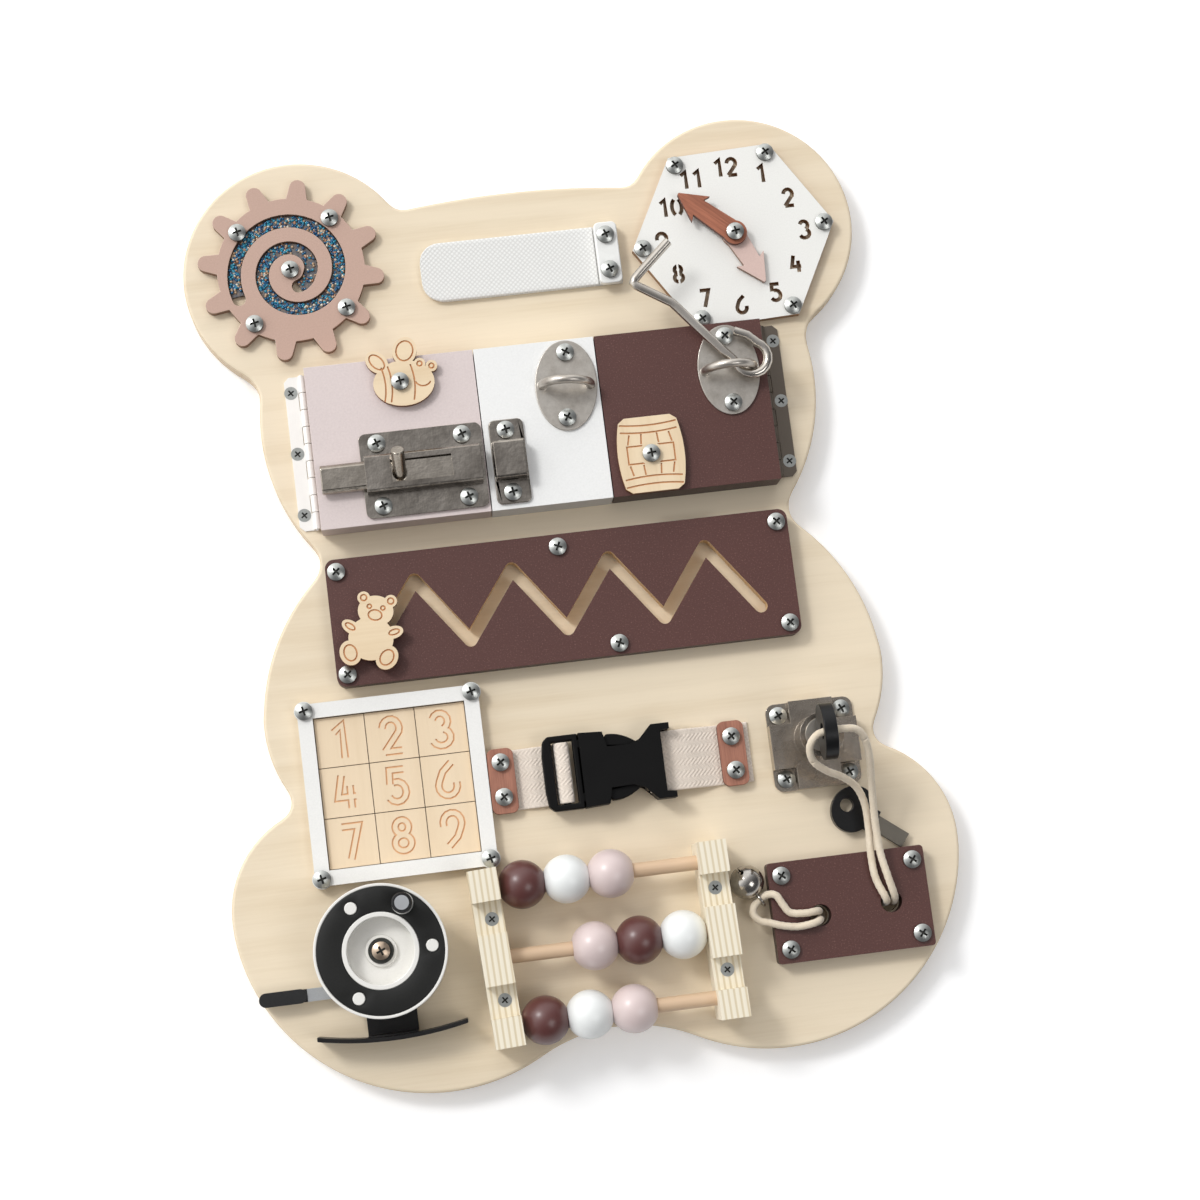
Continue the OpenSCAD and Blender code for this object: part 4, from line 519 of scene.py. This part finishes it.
def woven(path, half_width, middle_y, thick, relief, pitch, material, name):
    """Tape along path, which runs in the XZ plane, with its weave as relief on both faces.

    half_width and relief are functions: of the run, and of the run and the distance across."""
    path = even(path, pitch)
    run = run_of(path)
    across = round(2 * max(half_width(s) for s in run) / pitch)
    points, faces = [], []
    for side in (1, -1):
        for i, p in enumerate(path):
            way = (path[min(i + 1, len(path) - 1)] - path[max(i - 1, 0)]).normalized()
            out = Vector((-way.z, 0, way.x)) * side
            for k in range(across + 1):
                v = (2 * k / across - 1) * half_width(run[i])
                edge = min(1.0, (half_width(run[i]) - abs(v)) / (0.5 * thick) + 0.35)
                rise = thick / 2 * min(1.0, edge) + relief(run[i], v) * min(1.0, edge)
                points.append(Vector((p.x, middle_y + v, p.z)) + out * rise)
    row, sheet = across + 1, (across + 1) * len(path)
    for i in range(len(path) - 1):
        for k in range(across):
            a = i * row + k
            faces.append((a, a + row, a + row + 1, a + 1))
            faces.append((sheet + a + 1, sheet + a + row + 1, sheet + a + row, sheet + a))
        for k, flip in ((0, 1), (across, -1)):
            a = i * row + k
            faces.append((a, sheet + a, sheet + a + row, a + row)[::flip])
    for i, flip in ((0, -1), (len(path) - 1, 1)):
        for k in range(across):
            a = i * row + k
            faces.append((a, sheet + a, sheet + a + 1, a + 1)[::flip])
    piece = new_piece(name, (points, faces), material)
    piece.data.validate()
    return piece


TAPE_Y = 147.9 * MM
TAPE_HALF = 13.2 * MM
tape_white, place, feed = finish("tape weave", Sheen_Weight=0.15)
# the weave's hollows are painted darker and its crowns paler: painted shade that follows the lozenge relief of
# the tape
weave_shade = []
for slope in (1, -1):
    wave = (place.part("X") + place.part("Y") * slope) * (math.pi / (2.1 * MM))
    weave_shade.append(wave.math("SINE").math("ABSOLUTE"))
yarn = place.grain(1900, 3)
feed(Base_Color=(weave_shade[0] * weave_shade[1] * 0.85 + yarn * 0.3 - 0.05).mix(ink(214, 213, 209), ink(244, 244, 241)),
     Roughness=0.7 + yarn * 0.1, Normal=place.bump(yarn, 0.00009, 0.7))


def lozenge(x, v):
    """Diamond weave of the tape at a place along it, flat along its selvedge."""
    if TAPE_HALF - abs(v) < 1.1 * MM:
        return 0.0
    return 0.22 * MM * abs(math.sin(math.pi * (x + TAPE_Y + v) / (2.1 * MM))
                           * math.sin(math.pi * (x - TAPE_Y - v) / (2.1 * MM))) ** 0.7


def round_end(corner):
    """Half the width of a strip whose first end has round corners."""
    def half_width(s):
        return TAPE_HALF - (corner - math.sqrt(max(0, corner ** 2 - (corner - s) ** 2)) if s < corner else 0)
    return half_width


for strip_name, node, x0, x1, z, corner in (("tape_hooks", "tape_base", -44.2, 43.0, 12.72, 9.0),
                                            ("tape_root", "tape_base", 32.7, 43.0, 14.45, 0.1),
                                            ("tape_loops", "tape_flap", -45.2, 32.4, 14.45, 9.0)):
    line = [Vector((x0, 0, z)) * MM, Vector((x1, 0, z)) * MM]
    strip = woven(line, round_end(corner * MM), TAPE_Y, 1.1 * MM, lambda s, v: lozenge(s + x0 * MM, v),
                  0.42 * MM, tape_white, strip_name)
    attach(strip, "tape_flap" if node == "tape_flap" else "board_body")
    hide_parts(node)
plastic_white, place, feed = finish("white moulding", Coat_Weight=0.2, Coat_Roughness=0.25)
fog = place.grain(400, 3)
feed(Base_Color=fog.mix(ink(232, 232, 228), ink(246, 246, 243)), Roughness=0.32 + fog * 0.12,
     Normal=place.bump(fog, 0.00004))
dress("tape_clamp", plastic_white, 0.7 * MM, 3, soft=35)

# ---------- clock ----------
# A six-sided dial of white-painted plywood with stencil-cut numerals, laser-burnt in the cuts, and two loose
# wooden hands on one screw: the long one stained red-brown, the short one painted dusty pink.
dial_white = painted("dial white", (240, 239, 234), (146, 104, 66), 0.42, 0.00003, 0.02, (222, 214, 198))
dress("clock_face", dial_white, 0.18 * MM, 1, 50)


def stained(name, deep, pale, along, side):
    """Plywood stained through its grain, which runs along a direction in plan."""
    material, place, feed = finish(name, Coat_Weight=0.1, Coat_Roughness=0.4)
    turned = place.node("VectorRotate", {"rotation_type": "Z_AXIS"},
                        {"Vector": place, "Angle": -math.radians(along)})
    pores = turned.stretched(0.06, 1, 1).grain(1500, 5, 0.65)
    bands = turned.stretched(0.1, 1, 1).grain(260, 3)
    grainy = (pores * 0.6 + bands * 0.4).ramp((0.3, ink(*deep)), (0.62, ink(*pale)))
    up = facing(place).above(0.5, 0.2)
    feed(Base_Color=up.mix(ink(*side), grainy), Roughness=0.5 + pores * 0.2,
         Normal=place.bump(pores, 0.00012, 0.8))
    return material


hand_red = stained("red-stained hand", (120, 66, 44), (176, 108, 80), 138.7, (96, 50, 34))
dress("minute_hand", hand_red, 0.25 * MM, 2)
hand_pink = painted("dusty pink hand", (216, 188, 178), (140, 104, 84), 0.45, 0.00005, 0.03, (230, 210, 200))
dress("hour_hand", hand_pink, 0.25 * MM, 2)

# ---------- door band ----------
# Two thick fibreboard doors on piano hinges either side of a fixed white panel. Their arrises are chamfered
# and the rolled paint has a fine orange-peel grain: dusty pink on the left door, chocolate brown on the right.
# the pink door's paler chamfer is a painted highlight, and its sides, a darker copy of the pink, are painted
# shade
door_pink = painted("door pink", (219, 205, 202), (196, 178, 172), 0.42, 0.0001, 0.025,
                    (232, 220, 216), 1100)
dress("pink_door", door_pink, 0.9 * MM, 2)
# the panel's paler chamfer is a painted highlight, and its sides, a darker copy of the white, are painted shade
panel_white = painted("panel white", (240, 240, 238), (222, 220, 216), 0.42, 0.0001, 0.02,
                      (246, 245, 242), 1100)
dress("center_panel", panel_white, 0.7 * MM, 2)


def chocolate(name, burnt=(60, 34, 30)):
    """Brown paint with a fine grain, and tiny paler specks painted into its colour as glints: a painted
    highlight, as is its paler brown chamfer.
    """
    material, place, feed = finish(name, Coat_Weight=0.1, Coat_Roughness=0.35)
    fine = place.grain(1500, 3, 0.65)
    wide = place.grain(30, 2)
    glint = fine.above(0.63, 0.05)
    skin = (fine * 0.7 + wide * 0.3).mix(ink(66, 33, 28), ink(95, 55, 48))
    speck = (glint * 0.45).mix(skin, ink(138, 100, 90))
    up = facing(place)
    # the bevels take a paler brown (118, 74, 68), a painted highlight along the arrises
    arris = up.above(0.2, 0.05).mix(ink(*burnt), ink(118, 74, 68))
    feed(Base_Color=up.above(0.9, 0.04).mix(arris, speck), Roughness=0.42 + fine * 0.2 - glint * 0.1,
         Normal=place.bump(fine, 0.00013, 0.9))
    return material, place, feed, speck, up


brown_paint = chocolate("door brown")[0]
dress("brown_door", brown_paint, 0.9 * MM, 2)

# Piano hinges: pressed steel leaves round a wire pin, one steel. The left ones are painted near white and
# barely metallic, a painted reflection of a white backdrop; the right ones are darkened, a painted reflection
# of a dark room.
hinge_reflections = metal("hinge steel with painted reflections", (252, 250, 246), (232, 229, 224), 0.3, 0.3, 90, (1, 0.05, 1))
leaf_side = hinge_reflections[1].part("X").above(0, 0.001)
# right of the middle the leaves are multiplied by (120, 112, 104): painted reflection of a dark room
reflection_tone = hinge_reflections[3].node("Mix", {"data_type": "RGBA", "blend_type": "MULTIPLY"},
                           {0: leaf_side, 6: hinge_reflections[3], 7: ink(120, 112, 104)}, 2)
hinge_reflections[2](Base_Color=reflection_tone, Metallic=0.12 + leaf_side * 0.8)
for leaf in ("hinge_fixed_leaves", "pink_door_leaf", "brown_door_leaf"):
    dress(leaf, hinge_reflections[0], 0.12 * MM, 1, 50)
dress("hinge_pins", hinge_reflections[0], 0.2 * MM, 2, 50)

# ---------- barrel bolt and its keeper ----------
# Pressed steel in a worn antique nickel plate, rippled by the press: a hump over a flat bar that slides with
# its round finger knob into the keeper, each screwed down at the corners of its plate.
antique = metal("antique nickel", (186, 178, 168), (88, 81, 74), 0.08, 0.7, 70,
                (1, 0.12, 1), 0.00005, 0.0007)[0]
dress("bolt_housing", antique, 0.45 * MM, 3, soft=38)
dress("bolt_keeper", antique, 0.45 * MM, 3, soft=38)
bar_steel = metal("bolt bar nickel", (202, 193, 181), (104, 96, 86), 0.07, 0.6, 80,
                  (0.1, 1, 1), 0.00004, 0.0006)[0]
dress("bolt_bar", bar_steel, 0.5 * MM, 3, soft=38)

# ---------- staples and the long hook ----------
# Cast oval plates with a thick wire eye, antique nickel, screwed down at top and bottom. The polished steel
# hook is bent from 4 mm rod and hangs by its own eye in the door's staple.
cast = metal("cast nickel", (222, 216, 207), (150, 142, 132), 0.24, 0.6, 160, (1, 1, 1), 0.00009)[0]
dress("panel_staple", cast, 0.35 * MM, 2, 60, soft=60)
dress("door_staple", cast, 0.35 * MM, 2, 60, soft=60)
rod_steel = metal("hook steel", (222, 216, 207), (150, 142, 132), 0.08, 0.4, 60, (1, 1, 1), 0.00001)[0]
dress("hook", rod_steel, soft=60)

# ---------- bee, barrel and bear figures ----------
# Laser-cut 3 mm birch plywood with engraved, scorched outlines. The bee and barrel spin on a screw, and the
# bear turns on the pin that slides in the zigzag groove.


def engraved(name, top, line, along="x", pale=(236, 214, 180), deep=(222, 196, 158)):
    """Laser-cut birch: scorched where the surface lies below top, and dark on its cut sides."""
    material, place, feed, face, flat = birch(name, pale, deep, along, "z", 1.0, (104, 66, 40))
    cut = place.part("Z").below(top - 0.12 * MM, 0.1 * MM)
    char = place.grain(1800, 2) * 0.5 + 0.5
    scorch = cut * char * 1.3
    marked = scorch.math("MINIMUM", scorch, 1.0).mix(face, ink(*line))
    side = place.grain(700, 2).mix(ink(92, 58, 36), ink(140, 94, 58))
    shallow = place.part("Z").above(top - 0.56 * MM, 0.04 * MM)
    feed(Base_Color=flat.mix(shallow.mix(side, ink(*line)), marked))
    return material


for node, along in (("bee", "x"), ("barrel", "y"), ("bear", "x")):
    dress(node, engraved(node + " birch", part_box(node)[1].z, (208, 150, 98), along))
peg_wood = birch("peg beech", (216, 188, 148), (196, 162, 122), "z", "z", 4000)[0]
dress("slider_pin", peg_wood, 0.2 * MM, 2)

# ---------- zigzag maze ----------
# An 8 mm plate painted chocolate brown, held by six screws. The routed zigzag groove, in which the bear's peg
# runs, is bare pale wood down its walls.
plate_brown, place, feed, speck, up = chocolate("zigzag brown")
ZIG_MIDDLE = (-0.5 * MM, -2.6 * MM)
inner = (place.part("X") - ZIG_MIDDLE[0]).math("ABSOLUTE").below(90 * MM)
inner = inner * (place.part("Y") - ZIG_MIDDLE[1]).math("ABSOLUTE").below(21 * MM)
bare = place.stretched(0.1, 1, 1).grain(500, 3).mix(ink(196, 160, 112), ink(226, 196, 150))
wall = inner * up.below(0.5, 0.1)
# the chamfers take a paler brown (122, 80, 70), a painted highlight, and the top keeps the painted glints in
# speck
arris = up.above(0.2, 0.05).mix(ink(60, 34, 30), ink(122, 80, 70))
feed(Base_Color=wall.mix(up.above(0.9, 0.04).mix(arris, speck), bare))
dress("zigzag_plate", plate_brown, 0.3 * MM, 2)

# ---------- number frame ----------
# Four white-painted plywood strips in one square frame with round lugs at the screws, round nine loose birch
# tiles on which the digits' outlines are engraved.
frame_white = painted("frame white", (240, 239, 235), (206, 196, 180), 0.42, 0.00004, 0.02, (226, 222, 214))
dress("number_frame", frame_white, 0.3 * MM, 2)
tile_birch = engraved("tile birch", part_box("number_tiles")[1].z, (230, 184, 136), "y",
                      (236, 214, 182), (226, 202, 168))
dress("number_tiles", tile_birch)

# ---------- buckle strap ----------
# Cream cotton webbing in a herringbone weave, clamped to the board at both ends by red-stained plates. A
# black side-release buckle joins it: one end threads the plug's ladder bar, the other the socket's bar.
clamp_stain = stained("red-stained clamp", (132, 82, 64), (176, 120, 98), 90, (110, 62, 46))
dress("strap_clamps", clamp_stain, 0.6 * MM, 3)
STRAP_Y = -78 * MM
STRAP_HALF = 13 * MM
web_cotton = webbing("cotton webbing", (244, 234, 222), (216, 200, 184), 0.82)


def herringbone(s, v):
    """Slanting ridges whose slope turns over at each column of the weave."""
    column = 2.6 * MM
    fold = abs((v / column) % 2 - 1) * column
    if STRAP_HALF - abs(v) < 0.8 * MM:
        return 0.04 * MM * math.cos(math.tau * s / (1.1 * MM))
    return 0.17 * MM * math.sin(math.tau * (s + 1.1 * fold) / (1.9 * MM))


STRAPS = {
    "strap_left": ([(-41.7, 0.7), (-36.2, 0.7), (-29.8, 0.7), (-23, 1.6), (-17.5, 1.75), (-13.6, 2.5),
                    (-12.9, 5.2), (-12.6, 8.2), (-11.3, 9.4), (-8.5, 9.4), (-7.4, 8.2), (-7.3, 5.4),
                    (-7.6, 3.6)],
                   "buckle_plug", -29, -15),
    "strap_right": ([(71.6, 0.7), (64, 0.7), (57.2, 0.7), (50, 2.6), (43.5, 4.6), (37, 5.2), (33, 4.7),
                     (29.6, 4.4), (27.2, 5), (26.4, 6.8), (27.2, 8.6), (29.6, 9.2), (33, 9.1)],
                    "buckle_socket", 57, 38)}
for strap_name, (line, carried, near, far) in STRAPS.items():
    line = curve_through([Vector((x * MM, 0, BOARD_TOP + z * MM)) for x, z in line], 8)
    strap = woven(line, lambda s: STRAP_HALF, STRAP_Y, 1.05 * MM, herringbone, 0.36 * MM, web_cotton,
                  strap_name)
    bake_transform(strap)
    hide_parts("straps")
    run_of(line)[-1]


def moulded(name, colour, light, rough=0.34, grit=0.00005, shine=0.3):
    """Injection-moulded plastic or a hard enamel with a faint spark-eroded grain."""
    material, place, feed = finish(name, Specular_IOR_Level=shine)
    fine = place.grain(1300, 3)
    wide = place.grain(70, 2)
    feed(Base_Color=(fine * 0.5 + wide * 0.5).mix(ink(*colour), ink(*light)), Roughness=rough + wide * 0.14,
         Normal=place.bump(fine, grit, 0.7))
    return material, place, feed


buckle_black = moulded("buckle black", (5, 5, 5), (12, 11, 11), 0.4, shine=0.16)[0]
dress("buckle_plug", buckle_black, 0.7 * MM, 3)
dress("buckle_socket", buckle_black, 0.9 * MM, 3)

# ---------- lock and keys ----------
# A die-cast cabinet lock, antique nickel, with a sliding tongue. Its steel key has a black plastic bow, and
# a second key like it lies beside the lock.
lock_nickel = metal("lock nickel", (198, 188, 175), (116, 106, 95), 0.12, 0.55, 110,
                    (1, 1, 1), 0.00006, 0.0004)[0]
dress("lock_case", lock_nickel, 0.5 * MM, 3)
cylinder_nickel = metal("cylinder nickel", (214, 208, 198), (150, 142, 132), 0.22, 0.4, 200)[0]
dress("lock_cylinder", cylinder_nickel, 0.3 * MM, 2)
dress("lock_tongue", metal("tongue brass", (206, 184, 132), (150, 122, 76), 0.3, 0.4, 120)[0], 0.3 * MM, 2)
for node, bow_at, reach in (("key", (99.8, -76, 51.3), 10.2), ("spare_key", (112.2, -108.2, 14.5), 9.6)):
    black, place, feed = moulded(node + " black", (9, 9, 10), (22, 22, 23), 0.25)
    off = place.node("VectorMath", {"operation": "DISTANCE"},
                     {0: place, 1: tuple(v * MM for v in bow_at)}, 1)
    steel = off.above((reach + 2.2) * MM)
    feed(Base_Color=steel.mix(place.grain(900).mix(ink(9, 9, 10), ink(22, 22, 23)), ink(128, 122, 112)),
         Metallic=steel)
    dress(node, black, 0.6 * MM, 3, 50)

# ---------- cord plate and bell ----------
# A brown-painted plate, screwed down over the wells that hold the cords' knots, with two holes for the cords.
# On the short cord hangs a small nickel-plated jingle bell.
dress("cord_plate", chocolate("cord plate brown")[0], 0.3 * MM, 2)
bell_plate = metal("bell nickel", (200, 196, 190), (120, 114, 108), 0.06, 0.4, 200)[0]
dress("bell", bell_plate, soft=50)

# ---------- reel ----------
# A toy fishing reel: white moulded spool with a black face plate held by three rivets, a black knob on a
# chromed rivet, a black pressed bracket and saddle foot, and a zinc drag lever with a rubber tip.
SPOOL = Vector((-95.2, -142.9, 0)) * MM
SPOOL_TOP = 40 * MM
RIVET_RING = 21.4 * MM
dress("reel_spool", moulded("reel white", (226, 224, 218), (242, 240, 235), 0.3)[0], 0.45 * MM, 3, soft=35)


def flat_plate(loops, low, high):
    """Sheet with holes between two heights: the first loop is its outline."""
    made = bmesh.new()
    edges = []
    for loop in loops:
        ring = [made.verts.new((x, y, low)) for x, y in loop]
        edges += [made.edges.new((ring[i], ring[(i + 1) % len(ring)])) for i in range(len(ring))]
    bmesh.ops.triangle_fill(made, use_beauty=True, use_dissolve=False, edges=edges)
    risen = bmesh.ops.extrude_face_region(made, geom=made.faces[:])
    top = [v for v in risen["geom"] if isinstance(v, bmesh.types.BMVert)]
    bmesh.ops.translate(made, vec=(0, 0, high - low), verts=top)
    bmesh.ops.recalc_face_normals(made, faces=made.faces[:])
    return made


def ring_of(x, y, radius, count=48):
    return [(x + radius * math.cos(math.tau * k / count), y + radius * math.sin(math.tau * k / count))
            for k in range(count)]


face_black = moulded("reel face black", (16, 16, 15), (32, 32, 30), 0.42)[0]
*rivets, knob_at = [(SPOOL.x + RIVET_RING * math.cos(math.radians(a)),
                     SPOOL.y + RIVET_RING * math.sin(math.radians(a))) for a in (119, -1, -121, 59)]
loops = [ring_of(SPOOL.x, SPOOL.y, 26.5 * MM, 128), ring_of(SPOOL.x, SPOOL.y, 16.1 * MM, 96)]
loops += [ring_of(*p, 2.7 * MM) for p in rivets] + [ring_of(*knob_at, 4.6 * MM)]
face_plate = new_piece("reel_face", flat_plate(loops, SPOOL_TOP - 0.78 * MM, SPOOL_TOP - 0.1 * MM), face_black)
bevel = face_plate.modifiers.new("edge", "BEVEL")
bevel.width, bevel.segments, bevel.limit_method = 0.2 * MM, 2, "ANGLE"
split = face_plate.modifiers.new("sharp", "EDGE_SPLIT")
split.split_angle = math.radians(40)
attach(face_plate, "reel_spool")

knob_black, place, feed = moulded("knob black", (17, 17, 19), (34, 34, 36), 0.25)
cap = away_from(place, *knob_at).below(3.0 * MM) * place.part("Z").above(SPOOL_TOP + 12 * MM)
feed(Base_Color=cap.mix(place.grain(900).mix(ink(17, 17, 19), ink(34, 34, 36)), ink(214, 216, 218)),
     Metallic=cap)
dress("reel_knob", knob_black, 0.25 * MM, 2, 50)
dress("reel_bracket", moulded("bracket black", (14, 13, 13), (30, 28, 28), 0.34)[0], 0.35 * MM, 2, soft=35)
lever_skin, place, feed, plating = metal("lever zinc", (224, 226, 226), (170, 172, 174), 0.22, 0.3, 300)
rubber = place.part("X").below(-128.2 * MM)
feed(Base_Color=rubber.mix(plating, place.grain(900).mix(ink(16, 16, 17), ink(34, 34, 34))),
     Metallic=1 - rubber)
dress("reel_lever", lever_skin, 0.5 * MM, 3)

# ---------- bead rack ----------
# Two posts cut from thick plywood and stood on edge, so their plies run along the top, joined by three beech
# dowels. Each dowel carries three lacquered wooden beads.
post_ply, place, feed = birch("post plywood", (232, 222, 194), (214, 202, 170), "y", "x", 1.9)[:3]
plies = place.node("VectorRotate", {"rotation_type": "Z_AXIS"}, {"Vector": place, "Angle": -math.radians(1.8)})
across = plies.part("X") / (2.5 * MM)
stripe = across.math("FRACT")
stripe = stripe.above(0.3, 0.07) * stripe.below(0.94, 0.05)
fibres = place.stretched(1, 0.06, 1).grain(1300, 4)
feed(Base_Color=(stripe * 0.75 + fibres * 0.2).mix(ink(216, 200, 168), ink(246, 238, 218)),
     Normal=place.bump(stripe * 0.5 + fibres * 0.5, 0.00009, 0.7))
dress("abacus_posts", post_ply, 0.5 * MM, 2)
dress("abacus_rods", birch("dowel beech", (214, 184, 152), (192, 158, 126), "x", "z", 4000)[0], 0.3 * MM, 2)


def lacquer(name, colour):
    """Sprayed satin lacquer over wood: a soft sheen with a faint unevenness."""
    material, place, feed = finish(name, Coat_Weight=0.5, Coat_Roughness=0.28)
    uneven = place.grain(160, 3)
    dust = place.grain(2200, 2)
    light = tuple(min(255, v + 7) for v in colour)
    feed(Base_Color=(uneven * 0.7 + dust * 0.3).mix(ink(*colour), ink(*light)), Roughness=0.34 + uneven * 0.12,
         Normal=place.bump(uneven * 0.8 + dust * 0.2, 0.00006, 0.6))
    return material


BEAD_PAINT = {"brown": lacquer("bead brown", (88, 46, 43)), "white": lacquer("bead white", (236, 238, 236)),
              "pink": lacquer("bead pink", (214, 196, 193))}
for row, colours in (("top", ("brown", "white", "pink")), ("middle", ("pink", "brown", "white")),
                     ("bottom", ("brown", "white", "pink"))):
    for number, colour in enumerate(colours):
        dress(f"bead_{row}_{number + 1}", BEAD_PAINT[colour], soft=50)

# ---------- floor and light ----------
# A white studio table under one large window-like lamp at the upper left, with a weak fill from the right.
# Only camera rays see the table's little glow, which keeps it white without lighting the object.
bpy.ops.mesh.primitive_plane_add(size=4, location=(0, 0, -0.0004))
floor = bpy.context.object
floor.name = "floor"
paper, place, feed = finish("white paper")
feed(Base_Color=place.grain(3).mix(ink(250, 250, 250), ink(252, 252, 252)), Roughness=0.9,
     Emission_Color=place.node("LightPath").mix((0, 0, 0, 1), (1, 1, 1, 1)), Emission_Strength=0.17)
floor.data.materials.append(paper)


def lamp(name, at, aim, size, power):
    """A square soft lamp that faces a point."""
    light = bpy.data.lights.new(name, "AREA")
    light.shape, light.size, light.energy = "SQUARE", size, power
    holder = bpy.data.objects.new(name, light)
    bpy.context.scene.collection.objects.link(holder)
    holder.location = at
    holder.rotation_euler = (Vector(aim) - Vector(at)).to_track_quat("-Z", "Y").to_euler()


lamp("window", (-2.1, 1.9, 3.0), (0, 0, 0), 0.9, 68)
lamp("fill", (1.6, -1.2, 3.4), (0, 0, 0), 1.6, 25)
world = bpy.data.worlds.new("studio")
bpy.context.scene.world = world
world.use_nodes = True
sky = world.node_tree.nodes["Background"]
way = Flow(world.node_tree.nodes.new("ShaderNodeTexCoord").outputs["Generated"])
# pale walls at the upper left, a dark room at the lower right and overhead where the camera stands
toward = way.part("X") * -0.45 + way.part("Y") * 0.55 + way.part("Z") * -0.1
room = (toward + 0.35).ramp((0.0, (0.12, 0.12, 0.125, 1)), (0.26, (0.31, 0.31, 0.32, 1)),
                            (0.5, (0.82, 0.83, 0.85, 1)), (0.62, (1.4, 1.4, 1.4, 1)))
# the white backdrop: all round for the camera, and near the horizon for what metal and gloss reflect
ray = world.node_tree.nodes.new("ShaderNodeLightPath")
seen = Flow(ray.outputs["Is Glossy Ray"]) + Flow(ray.outputs["Is Transmission Ray"])
seen = seen * way.part("Z").below(0.16, 0.08) + Flow(ray.outputs["Is Camera Ray"])
put(sky.inputs["Color"], seen.mix(room, (1, 1, 1, 1)))
sky.inputs["Strength"].default_value = 1.0
bpy.context.scene.view_settings.view_transform = "Standard"
